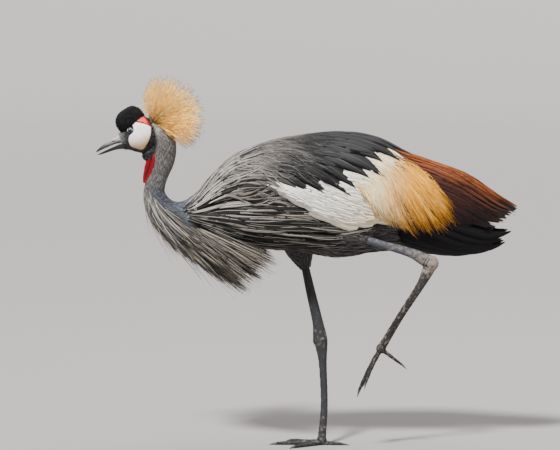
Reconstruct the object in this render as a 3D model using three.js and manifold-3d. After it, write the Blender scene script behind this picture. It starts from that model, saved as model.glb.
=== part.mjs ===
// Grey crowned crane, life size, wading: it stands on its right leg and lifts the left foot clear.
// Millimetres, +Z up. The bill points to -X and the bird's left side is towards -Y.
// The origin lies on the floor, under the toe joint of the standing foot.

import * as THREE from "three";
import { mergeVertices } from "three/addons/utils/BufferGeometryUtils.js";
import Module from "manifold-3d";

const wasm = await Module();
wasm.setup();

// Driving dimensions

const SEED = 25; // settles each feather's small differences
const GAP = 0.3; // left between two touching pieces
const UP = Math.PI / 2;

// Body under the plumage: distance along the body, top, bottom and half width.
const BODY = [
  [-284, 454, 430, 1],
  [-269, 479, 411, 38],
  [-237, 501, 403, 56],
  [-189, 544, 397, 72],
  [-120, 575, 389, 84],
  [-42, 590, 382, 89],
  [35, 596, 371, 86],
  [103, 589, 382, 78],
  [161, 565, 386, 66],
  [220, 544, 378, 54],
  [278, 519, 373, 42],
  [331, 488, 382, 30],
  [378, 463, 415, 14],
];
const TORSO = { front: -282, rump: 220, around: 14, taperFrom: 165, taper: 15 };

// Neck, from the nape down into the breast: position along and up, and radius seen from the side.
const NECK = [
  [-334, 622, 15],
  [-319, 612, 19],
  [-310, 595, 20.5],
  [-309, 577, 21],
  [-312, 556, 20.5],
  [-318, 534, 18.5],
  [-325, 512, 18.5],
  [-327, 493, 20.5],
  [-320, 472, 25],
  [-305, 453, 32],
  [-281, 440, 41],
  [-246, 436, 50],
];
const NECK_WIDTH = 0.82; // width of the neck against its depth
const NECK_CUTS = [0.24, 0.57]; // shares of its length where it is parted

// Head, in its own frame: forward along the bill, and up square to it.
const HEAD = { x: -351, z: 612, droop: 20 };
const SKULL = [
  // forward, top, bottom, half width
  [-31, 6, -14, 5],
  [-25, 19, -27, 14],
  [-12, 28, -34, 19],
  [0, 31, -36, 20.5],
  [12, 30, -35, 20],
  [24, 25, -28, 16.5],
  [34, 19, -21, 12],
  [42, 14.8, -17, 9.4],
];
const BILL = { root: 42.3, tip: 97, mouth: -4.8, gape: 3.4 };
const UPPER_BILL = [
  // share of the length, height, half width
  [0, 19, 9.2],
  [0.3, 14.5, 7.4],
  [0.55, 10.6, 5.6],
  [0.8, 7, 3.8],
  [0.95, 3.8, 2],
];
const LOWER_BILL = [
  [0, 12, 8.6],
  [0.3, 10.4, 6.6],
  [0.55, 8.4, 5],
  [0.8, 5.4, 3.3],
  [0.95, 3, 1.7],
];
const CAP = { forward: 13, up: 30, long: 30, tall: 26, wide: 18.5, rim: [19.8, 0.15] };
const EYE = { forward: 18.4, up: 12.3, radius: 6.2, sunk: 4.3 };
const LID = { long: 6.6, tall: 5.7, thick: 1.3 };
const NOSTRIL = { forward: 58, up: 3.4, across: 7, radii: [4.6, 2.4, 1.5] };
const CHEEK_THICK = 1.6;
const THROAT = { forward: -3, up: -43, radii: [17, 12.5, 17] };
// The wattle wraps the front of the neck: shares of the neck's length, how far round it reaches
// on each side in degrees, and how far its two lobes stand off at the sides and in front.
const WATTLE = { from: 0.268, to: 0.556, reach: 58, side: 2.8, front: 10.5 };

// Crest of stiff bristles, fanned round one direction from a small patch on the hind crown.
const CREST = { forward: -26, up: 15, boss: 8.5, count: 60, aim: 38, fore: 70, side: 60 };
const CREST_LENGTH = 101;
const CREST_THICK = 0.75; // half the thickness of a bristle

// Legs: points as along, across and up, with the radius at each.
const RIGHT_LEG = {
  side: "right",
  thigh: [
    [-50, 48, 412, 34, 26],
    [-44, 45, 385, 29, 24],
    [-37, 42, 361, 19, 16],
    [-30, 38, 346, 10, 9],
  ],
  shin: [
    [-36, 41, 359, 8.4, 7.8],
    [-22, 32, 300, 9.2, 8.2],
    [-8, 25, 240, 10.6, 8.8],
    [-4, 23, 214, 13.6, 10.5],
  ],
  ankle: [-3, 22, 204, 15, 11.5],
  shank: [
    [-1, 21, 195, 12.6, 9.9],
    [2, 17, 160, 7.6, 6.6],
    [5, 8, 80, 6.6, 5.8],
    [1, 1.5, 22, 7.6, 7],
    [0, 0, 10, 9, 9],
  ],
};
const LEFT_LEG = {
  side: "left",
  thigh: [
    [-40, -46, 436, 40, 24],
    [10, -55, 428, 31, 22],
    [52, -63, 419, 20, 16],
    [84, -66, 411, 10, 9],
  ],
  shin: [
    [66, -64.5, 416, 8, 7.4],
    [125, -66, 398, 7.6, 7.2],
    [170, -63, 384.5, 9.4, 8.2],
    [201, -60.5, 369, 13, 10.5],
  ],
  ankle: [210, -60, 364, 15.5, 11.5],
  shank: [
    [207, -59.8, 356, 12.6, 9.8],
    [190, -57.5, 321, 7.8, 6.8],
    [152, -53, 261, 6.6, 5.8],
    [121, -49, 208, 7.4, 6.6],
    [114, -48, 196, 8.8, 8],
  ],
};
const SCUTES = 9; // broad plates down the front of each shank
const SCUTE_STEP = 0.9;
const FOOT_PAD = { radius: 10, height: 9.4 };
const LIFTED = { drop: 58, hindDrop: 38, spread: 0.42 };

// Toes: name, length, turn from straight ahead, width and height at the root, claw length.
const TOES = [
  { name: "inner", length: 60, turn: 38, width: 11, height: 10, claw: 13 },
  { name: "middle", length: 80, turn: 0, width: 12, height: 11, claw: 15 },
  { name: "outer", length: 64, turn: -36, width: 11, height: 10, claw: 13 },
  { name: "hind", length: 32, turn: 172, width: 10, height: 9, claw: 15 },
];

// Colours
const SLATE = 0x4c4c50;
const ASH = 0x8f8e8c;
const BLACK = 0x17161a;
const WHITE = 0xf1ece1;
const GOLD = 0xdca94a;
const CHESTNUT = 0x7a3326;
const RED = 0xc0202c;
const HORN = 0x35363a;
const PALE_EYE = 0xb9c6cc;
const LEG = 0x55555a;

// Small tools

let state = SEED;
function random(low, high) {
  state = (Math.imul(state, 1664525) + 1013904223) >>> 0;
  return low + ((high - low) * state) / 4294967296;
}

const V = (x, y, z) => new THREE.Vector3(x, y, z);
const radians = THREE.MathUtils.degToRad;
const mix = THREE.MathUtils.lerp;
const ramp = (x, x0, x1, a, b) => mix(a, b, THREE.MathUtils.smoothstep(x, x0, x1));

// A smooth curve through a table whose first column is the distance along it.
function profile(table) {
  const rows = table.map((row) => row.slice(1)).flat();
  const curve = new THREE.CubicInterpolant(
    table.map((row) => row[0]),
    rows,
    table[0].length - 1,
  );
  return (x) => [...curve.evaluate(x)];
}

function largest(solid) {
  return solid.decompose().reduce((a, b) => (a.volume() > b.volume() ? a : b));
}

// A closed mesh from points and triangles, turned to face outwards.
function closed(points, triangles) {
  const make = (faces) =>
    new wasm.Manifold(
      new wasm.Mesh({
        numProp: 3,
        vertProperties: Float32Array.from(points.flatMap((p) => [p.x, p.y, p.z])),
        triVerts: Uint32Array.from(faces.flat()),
      }),
    );
  const made = make(triangles);
  return made.volume() > 0 ? made : make(triangles.map(([a, b, c]) => [a, c, b]));
}

// A three.js geometry, placed by a matrix, as a closed solid.
function fromGeometry(geometry, matrix = new THREE.Matrix4()) {
  const bare = geometry.clone().applyMatrix4(matrix);
  bare.deleteAttribute("normal");
  bare.deleteAttribute("uv");
  const merged = mergeVertices(bare, 1e-4);
  const place = merged.attributes.position;
  const points = Array.from({ length: place.count }, (_, i) =>
    V().fromBufferAttribute(place, i),
  );
  const index = Array.from(merged.index.array);
  const faces = [];
  for (let i = 0; i < index.length; i += 3) faces.push(index.slice(i, i + 3));
  return closed(points, faces);
}

// Rings of equal count joined one after another, with a fan over each end.
function loft(rings) {
  const n = rings[0].length;
  const points = rings.flat();
  const faces = [];
  for (let r = 0; r + 1 < rings.length; r++)
    for (let i = 0; i < n; i++) {
      const j = (i + 1) % n;
      const [a, b, c, d] = [r * n + i, r * n + j, (r + 1) * n + j, (r + 1) * n + i];
      faces.push([a, b, c], [a, c, d]);
    }
  for (const [ring, flip] of [[0, true], [rings.length - 1, false]]) {
    const middle = rings[ring].reduce((sum, p) => sum.add(p), V(0, 0, 0)).divideScalar(n);
    points.push(middle);
    for (let i = 0; i < n; i++) {
      const edge = [ring * n + i, ring * n + ((i + 1) % n)];
      faces.push(flip ? [edge[1], edge[0], points.length - 1] : [...edge, points.length - 1]);
    }
  }
  return closed(points, faces);
}

function ellipse(centre, first, second, a, b, sides, power = 1) {
  return Array.from({ length: sides }, (_, i) => {
    const turn = (2 * Math.PI * i) / sides;
    const squared = (v) => Math.sign(v) * Math.abs(v) ** power;
    return centre
      .clone()
      .addScaledVector(first, a * squared(Math.cos(turn)))
      .addScaledVector(second, b * squared(Math.sin(turn)));
  });
}

function fuse(pieces) {
  return largest(wasm.Manifold.union(pieces));
}

// A three-sided spine: a root triangle, a middle one and the point.
function spine(points) {
  const sides = [0, 1, 2].flatMap((i) => {
    const j = (i + 1) % 3;
    return [
      [i, j, j + 3],
      [i, j + 3, i + 3],
      [i + 3, j + 3, 6],
    ];
  });
  return closed(points, [[0, 2, 1], ...sides]);
}

// Feathers

// A flat vane with a raised shaft. at(t, across, lift) gives a point: t runs from root to tip,
// across in millimetres to either side, and lift in millimetres off the surface it follows.
function vane(at, { width, thick, steps = 4, blunt = 0.25 }) {
  const points = [];
  const faces = [];
  const reach = 1 - 0.4 / steps;
  for (let k = 0; k <= steps; k++) {
    const t = (reach * k) / steps;
    const broad = Math.min(1, 0.55 + 2.2 * t) * (1 - (1 - blunt) * t ** 2.4);
    const half = (width / 2) * broad;
    const deep = (thick / 2) * mix(1, 0.6, t);
    points.push(at(t, -half, 0), at(t, 0, deep), at(t, half, 0), at(t, 0, -deep));
  }
  points.push(at(1, 0, 0), at(0, 0, 0));
  for (let k = 0; k < steps; k++) {
    const [left, top, right, under] = [4 * k, 4 * k + 1, 4 * k + 2, 4 * k + 3];
    for (const shaft of [top, under])
      for (const edge of [left, right]) {
        const outward = (shaft === top) === (edge === left);
        const quad = [
          [edge, shaft, shaft + 4],
          [edge, shaft + 4, edge + 4],
        ];
        faces.push(...(outward ? quad : quad.map(([a, b, c]) => [a, c, b])));
      }
  }
  const tip = points.length - 2;
  const root = points.length - 1;
  for (let i = 0; i < 4; i++) {
    const j = (i + 1) % 4;
    faces.push([4 * steps + i, 4 * steps + j, tip], [j, i, root]);
  }
  return closed(points, faces);
}

const bodyAt = profile(BODY);

// A point of the plumage guide: distance along, angle from the back's ridge, lift off the surface.
function onBody(x, angle, lift = 0) {
  const bare = (x1, a1) => {
    const [top, bottom, half] = bodyAt(x1);
    const across = Math.sign(Math.sin(a1)) * Math.abs(Math.sin(a1)) ** 0.92;
    const tall = Math.sign(Math.cos(a1)) * Math.abs(Math.cos(a1)) ** 0.95;
    return V(x1, half * across, (top + bottom) / 2 + ((top - bottom) / 2) * tall);
  };
  const place = bare(x, angle);
  if (!lift) return place;
  const along = bare(x + 2, angle).sub(bare(x - 2, angle));
  const round = bare(x, angle + 0.05).sub(bare(x, angle - 0.05));
  return place.addScaledVector(round.cross(along).normalize(), -lift);
}

// A feather that follows the guide from root to tip, each given as [along, angle in degrees].
// Its lower edge is raised by the cant, so that a row of feathers overlaps like shingles.
function bodyFeather(side, root, tip, lift, shape) {
  const place = (t) => [
    mix(root[0], tip[0], t),
    side * radians(mix(root[1], tip[1], t) + (shape.sag ?? 0) * Math.sin(Math.PI * t)),
  ];
  return vane((t, across, raise) => {
    const [x, angle] = place(t);
    const [xn, an] = place(t + 0.02);
    const centre = onBody(x, angle);
    const ahead = onBody(xn, an).sub(centre).normalize();
    const dx = onBody(x + 1, angle).sub(centre);
    const da = onBody(x, angle + 0.02).sub(centre);
    const sideways = dx.clone().cross(da).normalize().cross(ahead);
    const x2 = x + (across * sideways.dot(dx)) / dx.lengthSq();
    const a2 = angle + (0.02 * across * sideways.dot(da)) / da.lengthSq();
    return onBody(x2, a2, lift(x, t) + raise + side * (shape.cant ?? 0) * across);
  }, shape);
}

// Along a broken line of [along, angle] points, the place at a share of its length.
function between(ends, share) {
  const place = share * (ends.length - 1);
  const first = Math.min(Math.floor(place), ends.length - 2);
  return [0, 1].map((k) => mix(ends[first][k], ends[first + 1][k], place - first));
}

// A tier of feathers whose roots and tips are spread along two lines, each a little its own.
function tier(side, { roots, tips, count, lift, loose = 1, ...shape }) {
  return Array.from({ length: count }, (_, i) => {
    const share = count > 1 ? i / (count - 1) : 0.5;
    const own = (ends, by) => between(ends, share).map((v) => v + random(-by, by));
    return bodyFeather(side, own(roots, 0.6 * loose), own(tips, 1.8 * loose), lift, {
      ...shape,
      width: shape.width * random(0.94, 1.06),
    });
  });
}

// A block that wraps the guide between two stations, two angles and two heights.
function patch(side, [x0, x1], [low, high], under, over, grow = 0) {
  const along = 4;
  const rings = [];
  for (let i = 0; i <= along; i++) {
    const x = mix(x0 - grow, x1 + grow, i / along);
    const spread = Math.max(3, Math.round((high - low) / 17));
    const ring = [];
    for (let j = 0; j <= spread; j++)
      ring.push([mix(low, high, j / spread) + grow * mix(-1, 1, j / spread), over(x) + grow]);
    for (let j = spread; j >= 0; j--)
      ring.push([mix(low, high, j / spread) + grow * mix(-1, 1, j / spread), under]);
    rings.push(ring.map(([angle, lift]) => onBody(x, side * radians(angle), lift)));
  }
  return loft(rings);
}

// Neck and torso

const neckLine = new THREE.CatmullRomCurve3(NECK.map(([x, z]) => V(x, 0, z)));
const neckRadius = profile(NECK.map(([, , r], i) => [i / (NECK.length - 1), r]));

// A point on the neck: share of its length, angle from the back of the neck, extra lift.
function onNeck(share, angle, lift = 0) {
  const centre = neckLine.getPoint(share);
  const along = neckLine.getTangent(share);
  const back = V(0, 1, 0).cross(along).negate();
  const [radius] = neckRadius(share);
  return centre
    .addScaledVector(back, (radius + lift) * Math.cos(angle))
    .add(V(0, (radius * NECK_WIDTH + lift) * Math.sin(angle), 0));
}

function neckSolid(lift = 0) {
  const rings = Array.from({ length: 14 }, (_, i) =>
    Array.from({ length: 10 }, (_, j) => onNeck(i / 13, (Math.PI * j) / 5, lift)),
  );
  return loft(rings);
}

function torsoInset(x) {
  return ramp(x, TORSO.taperFrom, TORSO.rump, 0, -TORSO.taper);
}

function torsoSolid(lift = 0) {
  const count = 11;
  const rings = Array.from({ length: count + 1 }, (_, i) => {
    const x = mix(TORSO.front, TORSO.rump + TORSO.taper, i / count);
    return Array.from({ length: TORSO.around }, (_, j) =>
      onBody(x, (2 * Math.PI * j) / TORSO.around, torsoInset(x) + lift),
    );
  });
  return loft(rings).trimByPlane([-1, 0, 0], -TORSO.rump - lift);
}

// How far each tract of plumage lies off the body, from the innermost out.
const blackLift = () => 0.9;
const chestnutLift = () => 5;
const goldLift = (x) => ramp(x, 60, 95, 9.4, 10.2);
const whiteLift = (x) => ramp(x, -70, 62, 2.4, 13.2);
const slateLift = (x) => ramp(x, -250, 0, 5, 16.6);
const shoulderLift = (x) => slateLift(x) + 6;
// A feather's lift: it leaves the tract's block from below its surface and rises to its tip.
const rising = (base, low, high) => (x, t) => base(x) + mix(low, high, t ** 0.6);

const body = torsoSolid();
const bodyRoom = torsoSolid(GAP);
const neck = neckSolid();

// A length of the neck between two shares, with half the gap left at each cut.
function neckPart(from, to) {
  let part = neck;
  for (const [share, way] of [[from, 1], [to, -1]]) {
    if (share === 0 || share === 1) continue;
    const normal = neckLine.getTangent(share).multiplyScalar(way);
    part = part.trimByPlane(normal.toArray(), normal.dot(neckLine.getPoint(share)) + GAP / 2);
  }
  return part;
}

// A low ridge down the middle of the back, where the mantle feathers grow.
function ridge(grow = 0) {
  return patch(1, [-222, 80], [-3.2, 3.2], -3, (x) => slateLift(x) + 5, grow);
}

// Mantle feathers along the ridge of the back, over the seam between the wings.
function mantle() {
  const feathers = [];
  const shape = { width: 19, thick: 1.4, steps: 2, blunt: 0.35 };
  for (let x = -206, side = 1; x < 40; x += 38, side = -side) {
    const lift = (at, t) => slateLift(at) + mix(3.6, 6.6, Math.min(1, 2 * t));
    feathers.push(bodyFeather(side, [x, 1.5], [x + 88, 5.5], lift, shape));
  }
  return [ridge(), ...feathers];
}

// Long, narrow hackles that hang from the neck's base round the front of the breast.
const HACKLE_TIERS = [
  // share along the neck, middle tip along and up, side tip along, across and up, count
  { share: 0.6, middle: [-337, 430], side: [-292, 34, 440], count: 5 },
  { share: 0.68, middle: [-304, 398], side: [-240, 58, 415], count: 5 },
  { share: 0.77, middle: [-262, 368], side: [-188, 76, 385], count: 6 },
  { share: 0.86, middle: [-208, 334], side: [-130, 86, 360], count: 6 },
  { share: 0.95, middle: [-150, 302], side: [-88, 90, 372], count: 5 },
];
const HACKLE_SPREAD = 100;
const HACKLE = { width: 17, thick: 1.5, steps: 3, blunt: 0.25, cant: 0.16 };

function hackle(share, turn, tip, width) {
  const angle = Math.PI + radians(turn);
  const root = onNeck(share, angle, -7);
  const lower = onNeck(Math.min(1, share + 0.12), angle, 4);
  const path = new THREE.QuadraticBezierCurve3(root, lower.lerp(tip, 0.3), tip);
  const outward = (t) => V(-0.5 * (1 - t), Math.sin(angle), -0.45).normalize();
  return vane(
    (t, across, raise) => {
      const ahead = path.getTangent(Math.min(t, 0.999));
      const sideways = ahead.clone().cross(outward(t)).normalize();
      const normal = sideways.clone().cross(ahead).normalize();
      const height = raise - Math.sign(turn) * HACKLE.cant * across;
      return path.getPoint(t).addScaledVector(sideways, across).addScaledVector(normal, height);
    },
    { ...HACKLE, width },
  );
}

function hackles({ share, middle, side, count }) {
  return Array.from({ length: count }, (_, i) => {
    const turn = mix(-HACKLE_SPREAD, HACKLE_SPREAD, i / (count - 1)) + random(-3, 3);
    const out = Math.abs(turn) / HACKLE_SPREAD;
    const tip = V(
      mix(middle[0], side[0], out ** 1.4) + random(-9, 9),
      Math.sign(-turn) * side[1] * Math.sin(UP * out),
      mix(middle[1], side[2], out ** 1.4) + random(-7, 7),
    );
    return hackle(share + random(-0.015, 0.015), turn, tip, HACKLE.width * random(0.85, 1.15));
  });
}

// Plumes that sweep back from behind the collar, over the front of the wing and along the flank.
function shoulder(side) {
  const shape = {
    lift: (x, t) => mix(1.5, shoulderLift(x) + 1.4, Math.min(1, 3.6 * t)),
    width: 14,
    thick: 1.4,
    steps: 3,
    blunt: 0.25,
    cant: 0.08,
  };
  return fuse([
    patch(side, [-227, -192], [21, 108], -3, () => 5.6),
    ...tier(side, { ...shape, roots: [[-221, 66], [-221, 28]], tips: [[-112, 66], [-128, 24]], count: 3 }),
    ...tier(side, { ...shape, roots: [[-221, 101], [-221, 76]], tips: [[-28, 114], [-62, 86]], count: 4 }),
  ]);
}

// The base of the neck spreads over the front of the body as a collar.
function collar() {
  const rings = [-279, -265, -250, -238, -229].map((x) =>
    Array.from({ length: 13 }, (_, j) => onBody(x, (2 * Math.PI * (j + 0.2)) / 13, 3)),
  );
  return loft(rings);
}

// Wings: each tract of one folded wing is a block on the body with its feathers in tiers.

function slateTract(side) {
  const block = patch(side, [-184, -34], [4.3, 72], -3, slateLift);
  const shape = { lift: rising(slateLift, -2.4, 2.2), thick: 1.4, width: 26, steps: 2, cant: 0.08 };
  return fuse([
    block,
    ...tier(side, { ...shape, roots: [[-182, 60], [-176, 16]], tips: [[-108, 78], [-84, 15]], count: 3 }),
    ...tier(side, { ...shape, roots: [[-140, 62], [-122, 14]], tips: [[-16, 94], [20, 14]], count: 3, width: 31 }),
    ...tier(side, {
      ...shape,
      roots: [[-84, 62], [-66, 15]],
      tips: [[52, 92], [62, 84], [112, 68], [142, 36], [168, 12]],
      count: 5,
      width: 34,
      steps: 3,
    }),
  ]);
}

function whiteTract(side) {
  const shape = { lift: rising(whiteLift, -1.8, 1.3), thick: 1.2, width: 24, steps: 2, cant: 0.06 };
  return fuse([
    patch(side, [-188, 61], [73, 108], -3, whiteLift),
    patch(side, [-33, 60.2], [20, 77], -3, (x) => whiteLift(x) - 0.7),
    ...tier(side, { ...shape, roots: [[-166, 102], [-164, 88]], tips: [[-62, 115], [-70, 98]], count: 2 }),
    ...tier(side, { ...shape, roots: [[-70, 103], [-60, 86]], tips: [[58, 120], [40, 100]], count: 2, width: 30 }),
    ...tier(side, {
      ...shape,
      roots: [[20, 98], [30, 28]],
      tips: [[104, 118], [124, 84], [118, 30]],
      count: 4,
      width: 29,
    }),
  ]);
}

function goldTract(side) {
  const shape = { lift: rising(goldLift, -1.8, 1.8), thick: 1, blunt: 0.2, steps: 3, cant: 0.1 };
  return fuse([
    patch(side, [61.6, 92], [24, 106], -3, goldLift),
    ...tier(side, {
      ...shape,
      roots: [[70, 101], [76, 30]],
      tips: [[140, 131], [182, 128], [226, 122], [236, 84], [214, 44]],
      sag: 4,
      count: 7,
      width: 16,
    }),
    ...tier(side, {
      ...shape,
      lift: rising(goldLift, -1, 3),
      roots: [[80, 92], [82, 60]],
      tips: [[168, 138], [215, 133], [258, 104]],
      sag: 6,
      count: 3,
      width: 9,
    }),
  ]);
}

function chestnutTract(side) {
  return fuse([
    patch(side, [93.7, 157], [14.8, 96], -3, () => 5.2),
    ...tier(side, {
      lift: rising(chestnutLift, -1.4, 1.6),
      thick: 1.2,
      steps: 3,
      blunt: 0.5,
      cant: 0.05,
      roots: [[126, 88], [132, 22]],
      tips: [[262, 92], [300, 99], [346, 105], [362, 88], [374, 40]],
      sag: 5,
      count: 5,
      width: 32,
      loose: 0.5,
    }),
  ]);
}

function blackTract(side) {
  return fuse([
    patch(side, [124, 178], [98.4, 140], -3, () => 1.6),
    ...tier(side, {
      lift: rising(blackLift, -1.2, 1),
      thick: 1.2,
      steps: 3,
      blunt: 0.6,
      cant: 0.04,
      roots: [[148, 136], [142, 106]],
      tips: [[236, 168], [290, 160], [322, 156], [350, 146], [360, 122]],
      count: 4,
      width: 29,
      loose: 0.5,
    }),
  ]);
}

// Tail: a short fan of flight feathers behind the rump, hidden between the wings.
function tailSolid() {
  const rings = [0, 0.5, 1].map((t) => {
    const x = mix(TORSO.rump - 8, TORSO.rump + 58, t);
    return Array.from({ length: 12 }, (_, j) =>
      onBody(x, (Math.PI * j) / 6, -TORSO.taper - 3 - 14 * t),
    );
  });
  const feathers = [];
  for (let i = -2; i <= 2; i++) {
    const side = i + random(-0.15, 0.15);
    const rise = 2 * Math.abs(side) + random(-0.2, 0.2);
    const path = new THREE.LineCurve3(V(238, 5 * side, 452), V(338 - rise, 9 * side, 424));
    const place = (t, across, raise) => path.getPoint(t).add(V(0, across, raise + rise));
    feathers.push(vane(place, { width: 18, thick: 1.4, steps: 2, blunt: 0.7 }));
  }
  return fuse([loft(rings), ...feathers]).subtract(bodyRoom);
}

// Head

const forward = V(-Math.cos(radians(HEAD.droop)), 0, -Math.sin(radians(HEAD.droop)));
const upward = V(forward.z, 0, -forward.x);
const headFrame = new THREE.Matrix4().makeBasis(forward, V(0, -1, 0), upward);
headFrame.setPosition(HEAD.x, 0, HEAD.z);
const inHead = (along, across, up) => V(along, across, up).applyMatrix4(headFrame);

const skullAt = profile(SKULL);

function skullSolid(lift = 0) {
  const first = SKULL[0][0];
  const last = SKULL[SKULL.length - 1][0];
  const rings = Array.from({ length: 10 }, (_, i) => {
    const at = mix(first, last, i / 9);
    const [top, bottom, half] = skullAt(at);
    const ring = ellipse(
      V(at, 0, (top + bottom) / 2),
      V(0, 0, 1),
      V(0, 1, 0),
      (top - bottom) / 2 + lift,
      half + lift,
      12,
      0.92,
    );
    return ring.map((p) => p.applyMatrix4(headFrame));
  });
  return loft(rings);
}

function ball(along, across, up, radii, detail = [10, 7]) {
  const geometry = new THREE.SphereGeometry(1, ...detail);
  const matrix = new THREE.Matrix4().makeScale(...radii).setPosition(along, across, up);
  return fromGeometry(geometry, matrix.premultiply(headFrame));
}

// The cap of short plush: a dome over the forehead, cut off along its lower rim.
function capSolid(lift = 0) {
  const radii = [CAP.long + lift, CAP.wide + lift, CAP.tall + lift];
  const dome = ball(CAP.forward, 0, CAP.up, radii, [12, 9]);
  const normal = V(CAP.rim[1], 0, 1).normalize();
  const level = normal.clone().applyMatrix4(new THREE.Matrix4().extractRotation(headFrame));
  const rim = inHead(EYE.forward, 0, CAP.rim[0] - lift);
  return dome.trimByPlane(level.toArray(), level.dot(rim));
}

function eyeCentre(side) {
  const [top, bottom, half] = skullAt(EYE.forward);
  const rise = (EYE.up - (top + bottom) / 2) / ((top - bottom) / 2);
  return side * (half * Math.sqrt(1 - rise * rise) - EYE.sunk);
}

function eyeSolid(side, lift = 0) {
  const radius = EYE.radius + lift;
  return ball(EYE.forward, eyeCentre(side), EYE.up, [radius, radius, radius]);
}

// Two lids as one raised rim round the eye.
function lidSolid(side) {
  const rim = new THREE.TorusGeometry(1, LID.thick / LID.long, 4, 10);
  const matrix = new THREE.Matrix4()
    .makeRotationX(UP)
    .multiply(new THREE.Matrix4().makeScale(LID.long, LID.tall, LID.long));
  matrix.premultiply(new THREE.Matrix4().makeRotationZ(side * 0.32));
  matrix.setPosition(EYE.forward, eyeCentre(side) + side * 3.2, EYE.up);
  return fromGeometry(rim, matrix.premultiply(headFrame));
}

function lidRoom(side) {
  const [long, tall] = [LID.long + LID.thick + GAP, LID.tall + LID.thick + GAP];
  return ball(EYE.forward, eyeCentre(side) + side * 3, EYE.up, [long, 9, tall]);
}

// The bare cheek: an outline seen from the side, raised a little off the skull.
function cheekOutline() {
  const outline = new THREE.Shape();
  outline.moveTo(9, 22);
  outline.bezierCurveTo(9, 12, 12, 6, 22, 3);
  outline.bezierCurveTo(30, 0, 31, -20, 25, -24);
  outline.bezierCurveTo(20, -31, 6, -34, -4, -26);
  outline.bezierCurveTo(-12, -18, -19, -6, -20.5, 3);
  outline.lineTo(9, 22);
  return outline;
}

function browOutline() {
  const outline = new THREE.Shape();
  outline.moveTo(8.4, 22.7);
  outline.bezierCurveTo(2, 26, -8, 32, -13, 29);
  outline.bezierCurveTo(-20, 24, -23, 10, -21.2, 3.6);
  outline.lineTo(8.4, 22.7);
  return outline;
}

function skinPatch(side, outline) {
  const slab = new THREE.ExtrudeGeometry(outline, { depth: 26, bevelEnabled: false, curveSegments: 3 });
  const matrix = new THREE.Matrix4().makeBasis(V(1, 0, 0), V(0, 0, 1), V(0, side, 0));
  matrix.setPosition(0, side * 3, 0);
  const cutter = fromGeometry(slab, matrix.premultiply(headFrame));
  const raised = skullSolid(CHEEK_THICK).intersect(cutter);
  return largest(raised.subtract(skullSolid(GAP)).subtract(capSolid(GAP)).subtract(lidRoom(side)));
}

// One half of the bill: a wedge-shaped loft that is flat along the mouth.
function billSolid(table, above) {
  const rings = table.map(([share, height, half]) => {
    const along = mix(BILL.root, BILL.tip - (above ? 0 : 1.5), share);
    const open = above ? 0 : -BILL.gape * share;
    const edge = BILL.mouth + (above ? 0.2 : -0.2) + open;
    const way = above ? 1 : -1;
    const ring = [
      [-1, 0],
      [-0.92, 0.45],
      [-0.5, 0.85],
      [0, 1],
      [0.5, 0.85],
      [0.92, 0.45],
      [1, 0],
      [0, 0.06],
    ];
    return ring.map(([a, b]) => inHead(along, half * a, edge + way * height * b));
  });
  const end = table[table.length - 1];
  const tip = inHead(above ? BILL.tip : BILL.tip - 1.5, 0, BILL.mouth + (above ? 1 : -1 - BILL.gape));
  rings.push(rings[rings.length - 1].map((p) => p.clone().lerp(tip, 1 - 0.3 / end[2])));
  return loft(rings);
}

// The pouch of short feathers between the chin and the neck.
function throatSolid(lift = 0) {
  return ball(THROAT.forward, 0, THROAT.up, THROAT.radii.map((radius) => radius + lift));
}

// Two lobes of bare skin that hang in front of the neck, parted by a groove down the middle.
function wattleSolid() {
  const count = 9;
  const round = 8;
  const rings = Array.from({ length: count }, (_, i) => {
    const t = mix(0.03, 0.97, i / (count - 1));
    const swell = Math.sin(Math.PI * t) ** 0.5;
    const limit = WATTLE.reach * swell * mix(1, 0.72, t);
    const bulge = WATTLE.front * swell * mix(0.55, 1, Math.min(1, 1.6 * t));
    const point = (share, lift) =>
      onNeck(mix(WATTLE.from, WATTLE.to, t), Math.PI + radians(limit * share), lift);
    const outer = Array.from({ length: round + 1 }, (_, j) => {
      const share = mix(-1, 1, j / round);
      const lobe = Math.cos(UP * share) ** 1.5 - 0.22 * Math.exp(-((share / 0.18) ** 2));
      return point(share, mix(-1.5, WATTLE.side, Math.cos(UP * share) ** 0.4) + bulge * lobe);
    });
    return [...outer, point(0.6, -6), point(0, -7), point(-0.6, -6)];
  });
  return loft(rings);
}

// Crest: stiff bristles spread over a dome, each a slim three-sided spine.
function crestSolid() {
  const centre = inHead(CREST.forward, 0, CREST.up);
  const boss = new THREE.SphereGeometry(CREST.boss, 8, 6);
  const pieces = [fromGeometry(boss, new THREE.Matrix4().setPosition(centre))];
  const golden = Math.PI * (3 - Math.sqrt(5));
  for (let i = 0; i < CREST.count; i++) {
    const spread = Math.sqrt((i + 0.5) / CREST.count);
    const tilt = spread * CREST.fore * Math.cos(i * golden);
    const lean = radians(spread * CREST.side * Math.sin(i * golden));
    const rise = radians(CREST.aim + tilt + random(-2, 2));
    const way = V(
      Math.cos(rise) * Math.cos(lean),
      Math.sin(lean),
      Math.sin(rise) * Math.cos(lean),
    );
    const short = tilt > 0 ? 0.42 * (tilt / CREST.fore) ** 2 : 0.2 * (tilt / CREST.fore) ** 2;
    const length = CREST_LENGTH * (1 - short) * random(0.94, 1.03);
    const first = V(0, 1, 0.3).cross(way).normalize();
    const second = way.clone().cross(first);
    const tip = centre.clone().addScaledVector(way, length).add(V(0, 0, -4 * Math.cos(rise)));
    const rings = [0.72 * CREST.boss, 0.6 * length].map((reach) =>
      ellipse(centre.clone().addScaledVector(way, reach), first, second, CREST_THICK, CREST_THICK, 3),
    );
    pieces.push(spine([...rings.flat(), tip]));
  }
  return fuse(pieces);
}

// Legs

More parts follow.
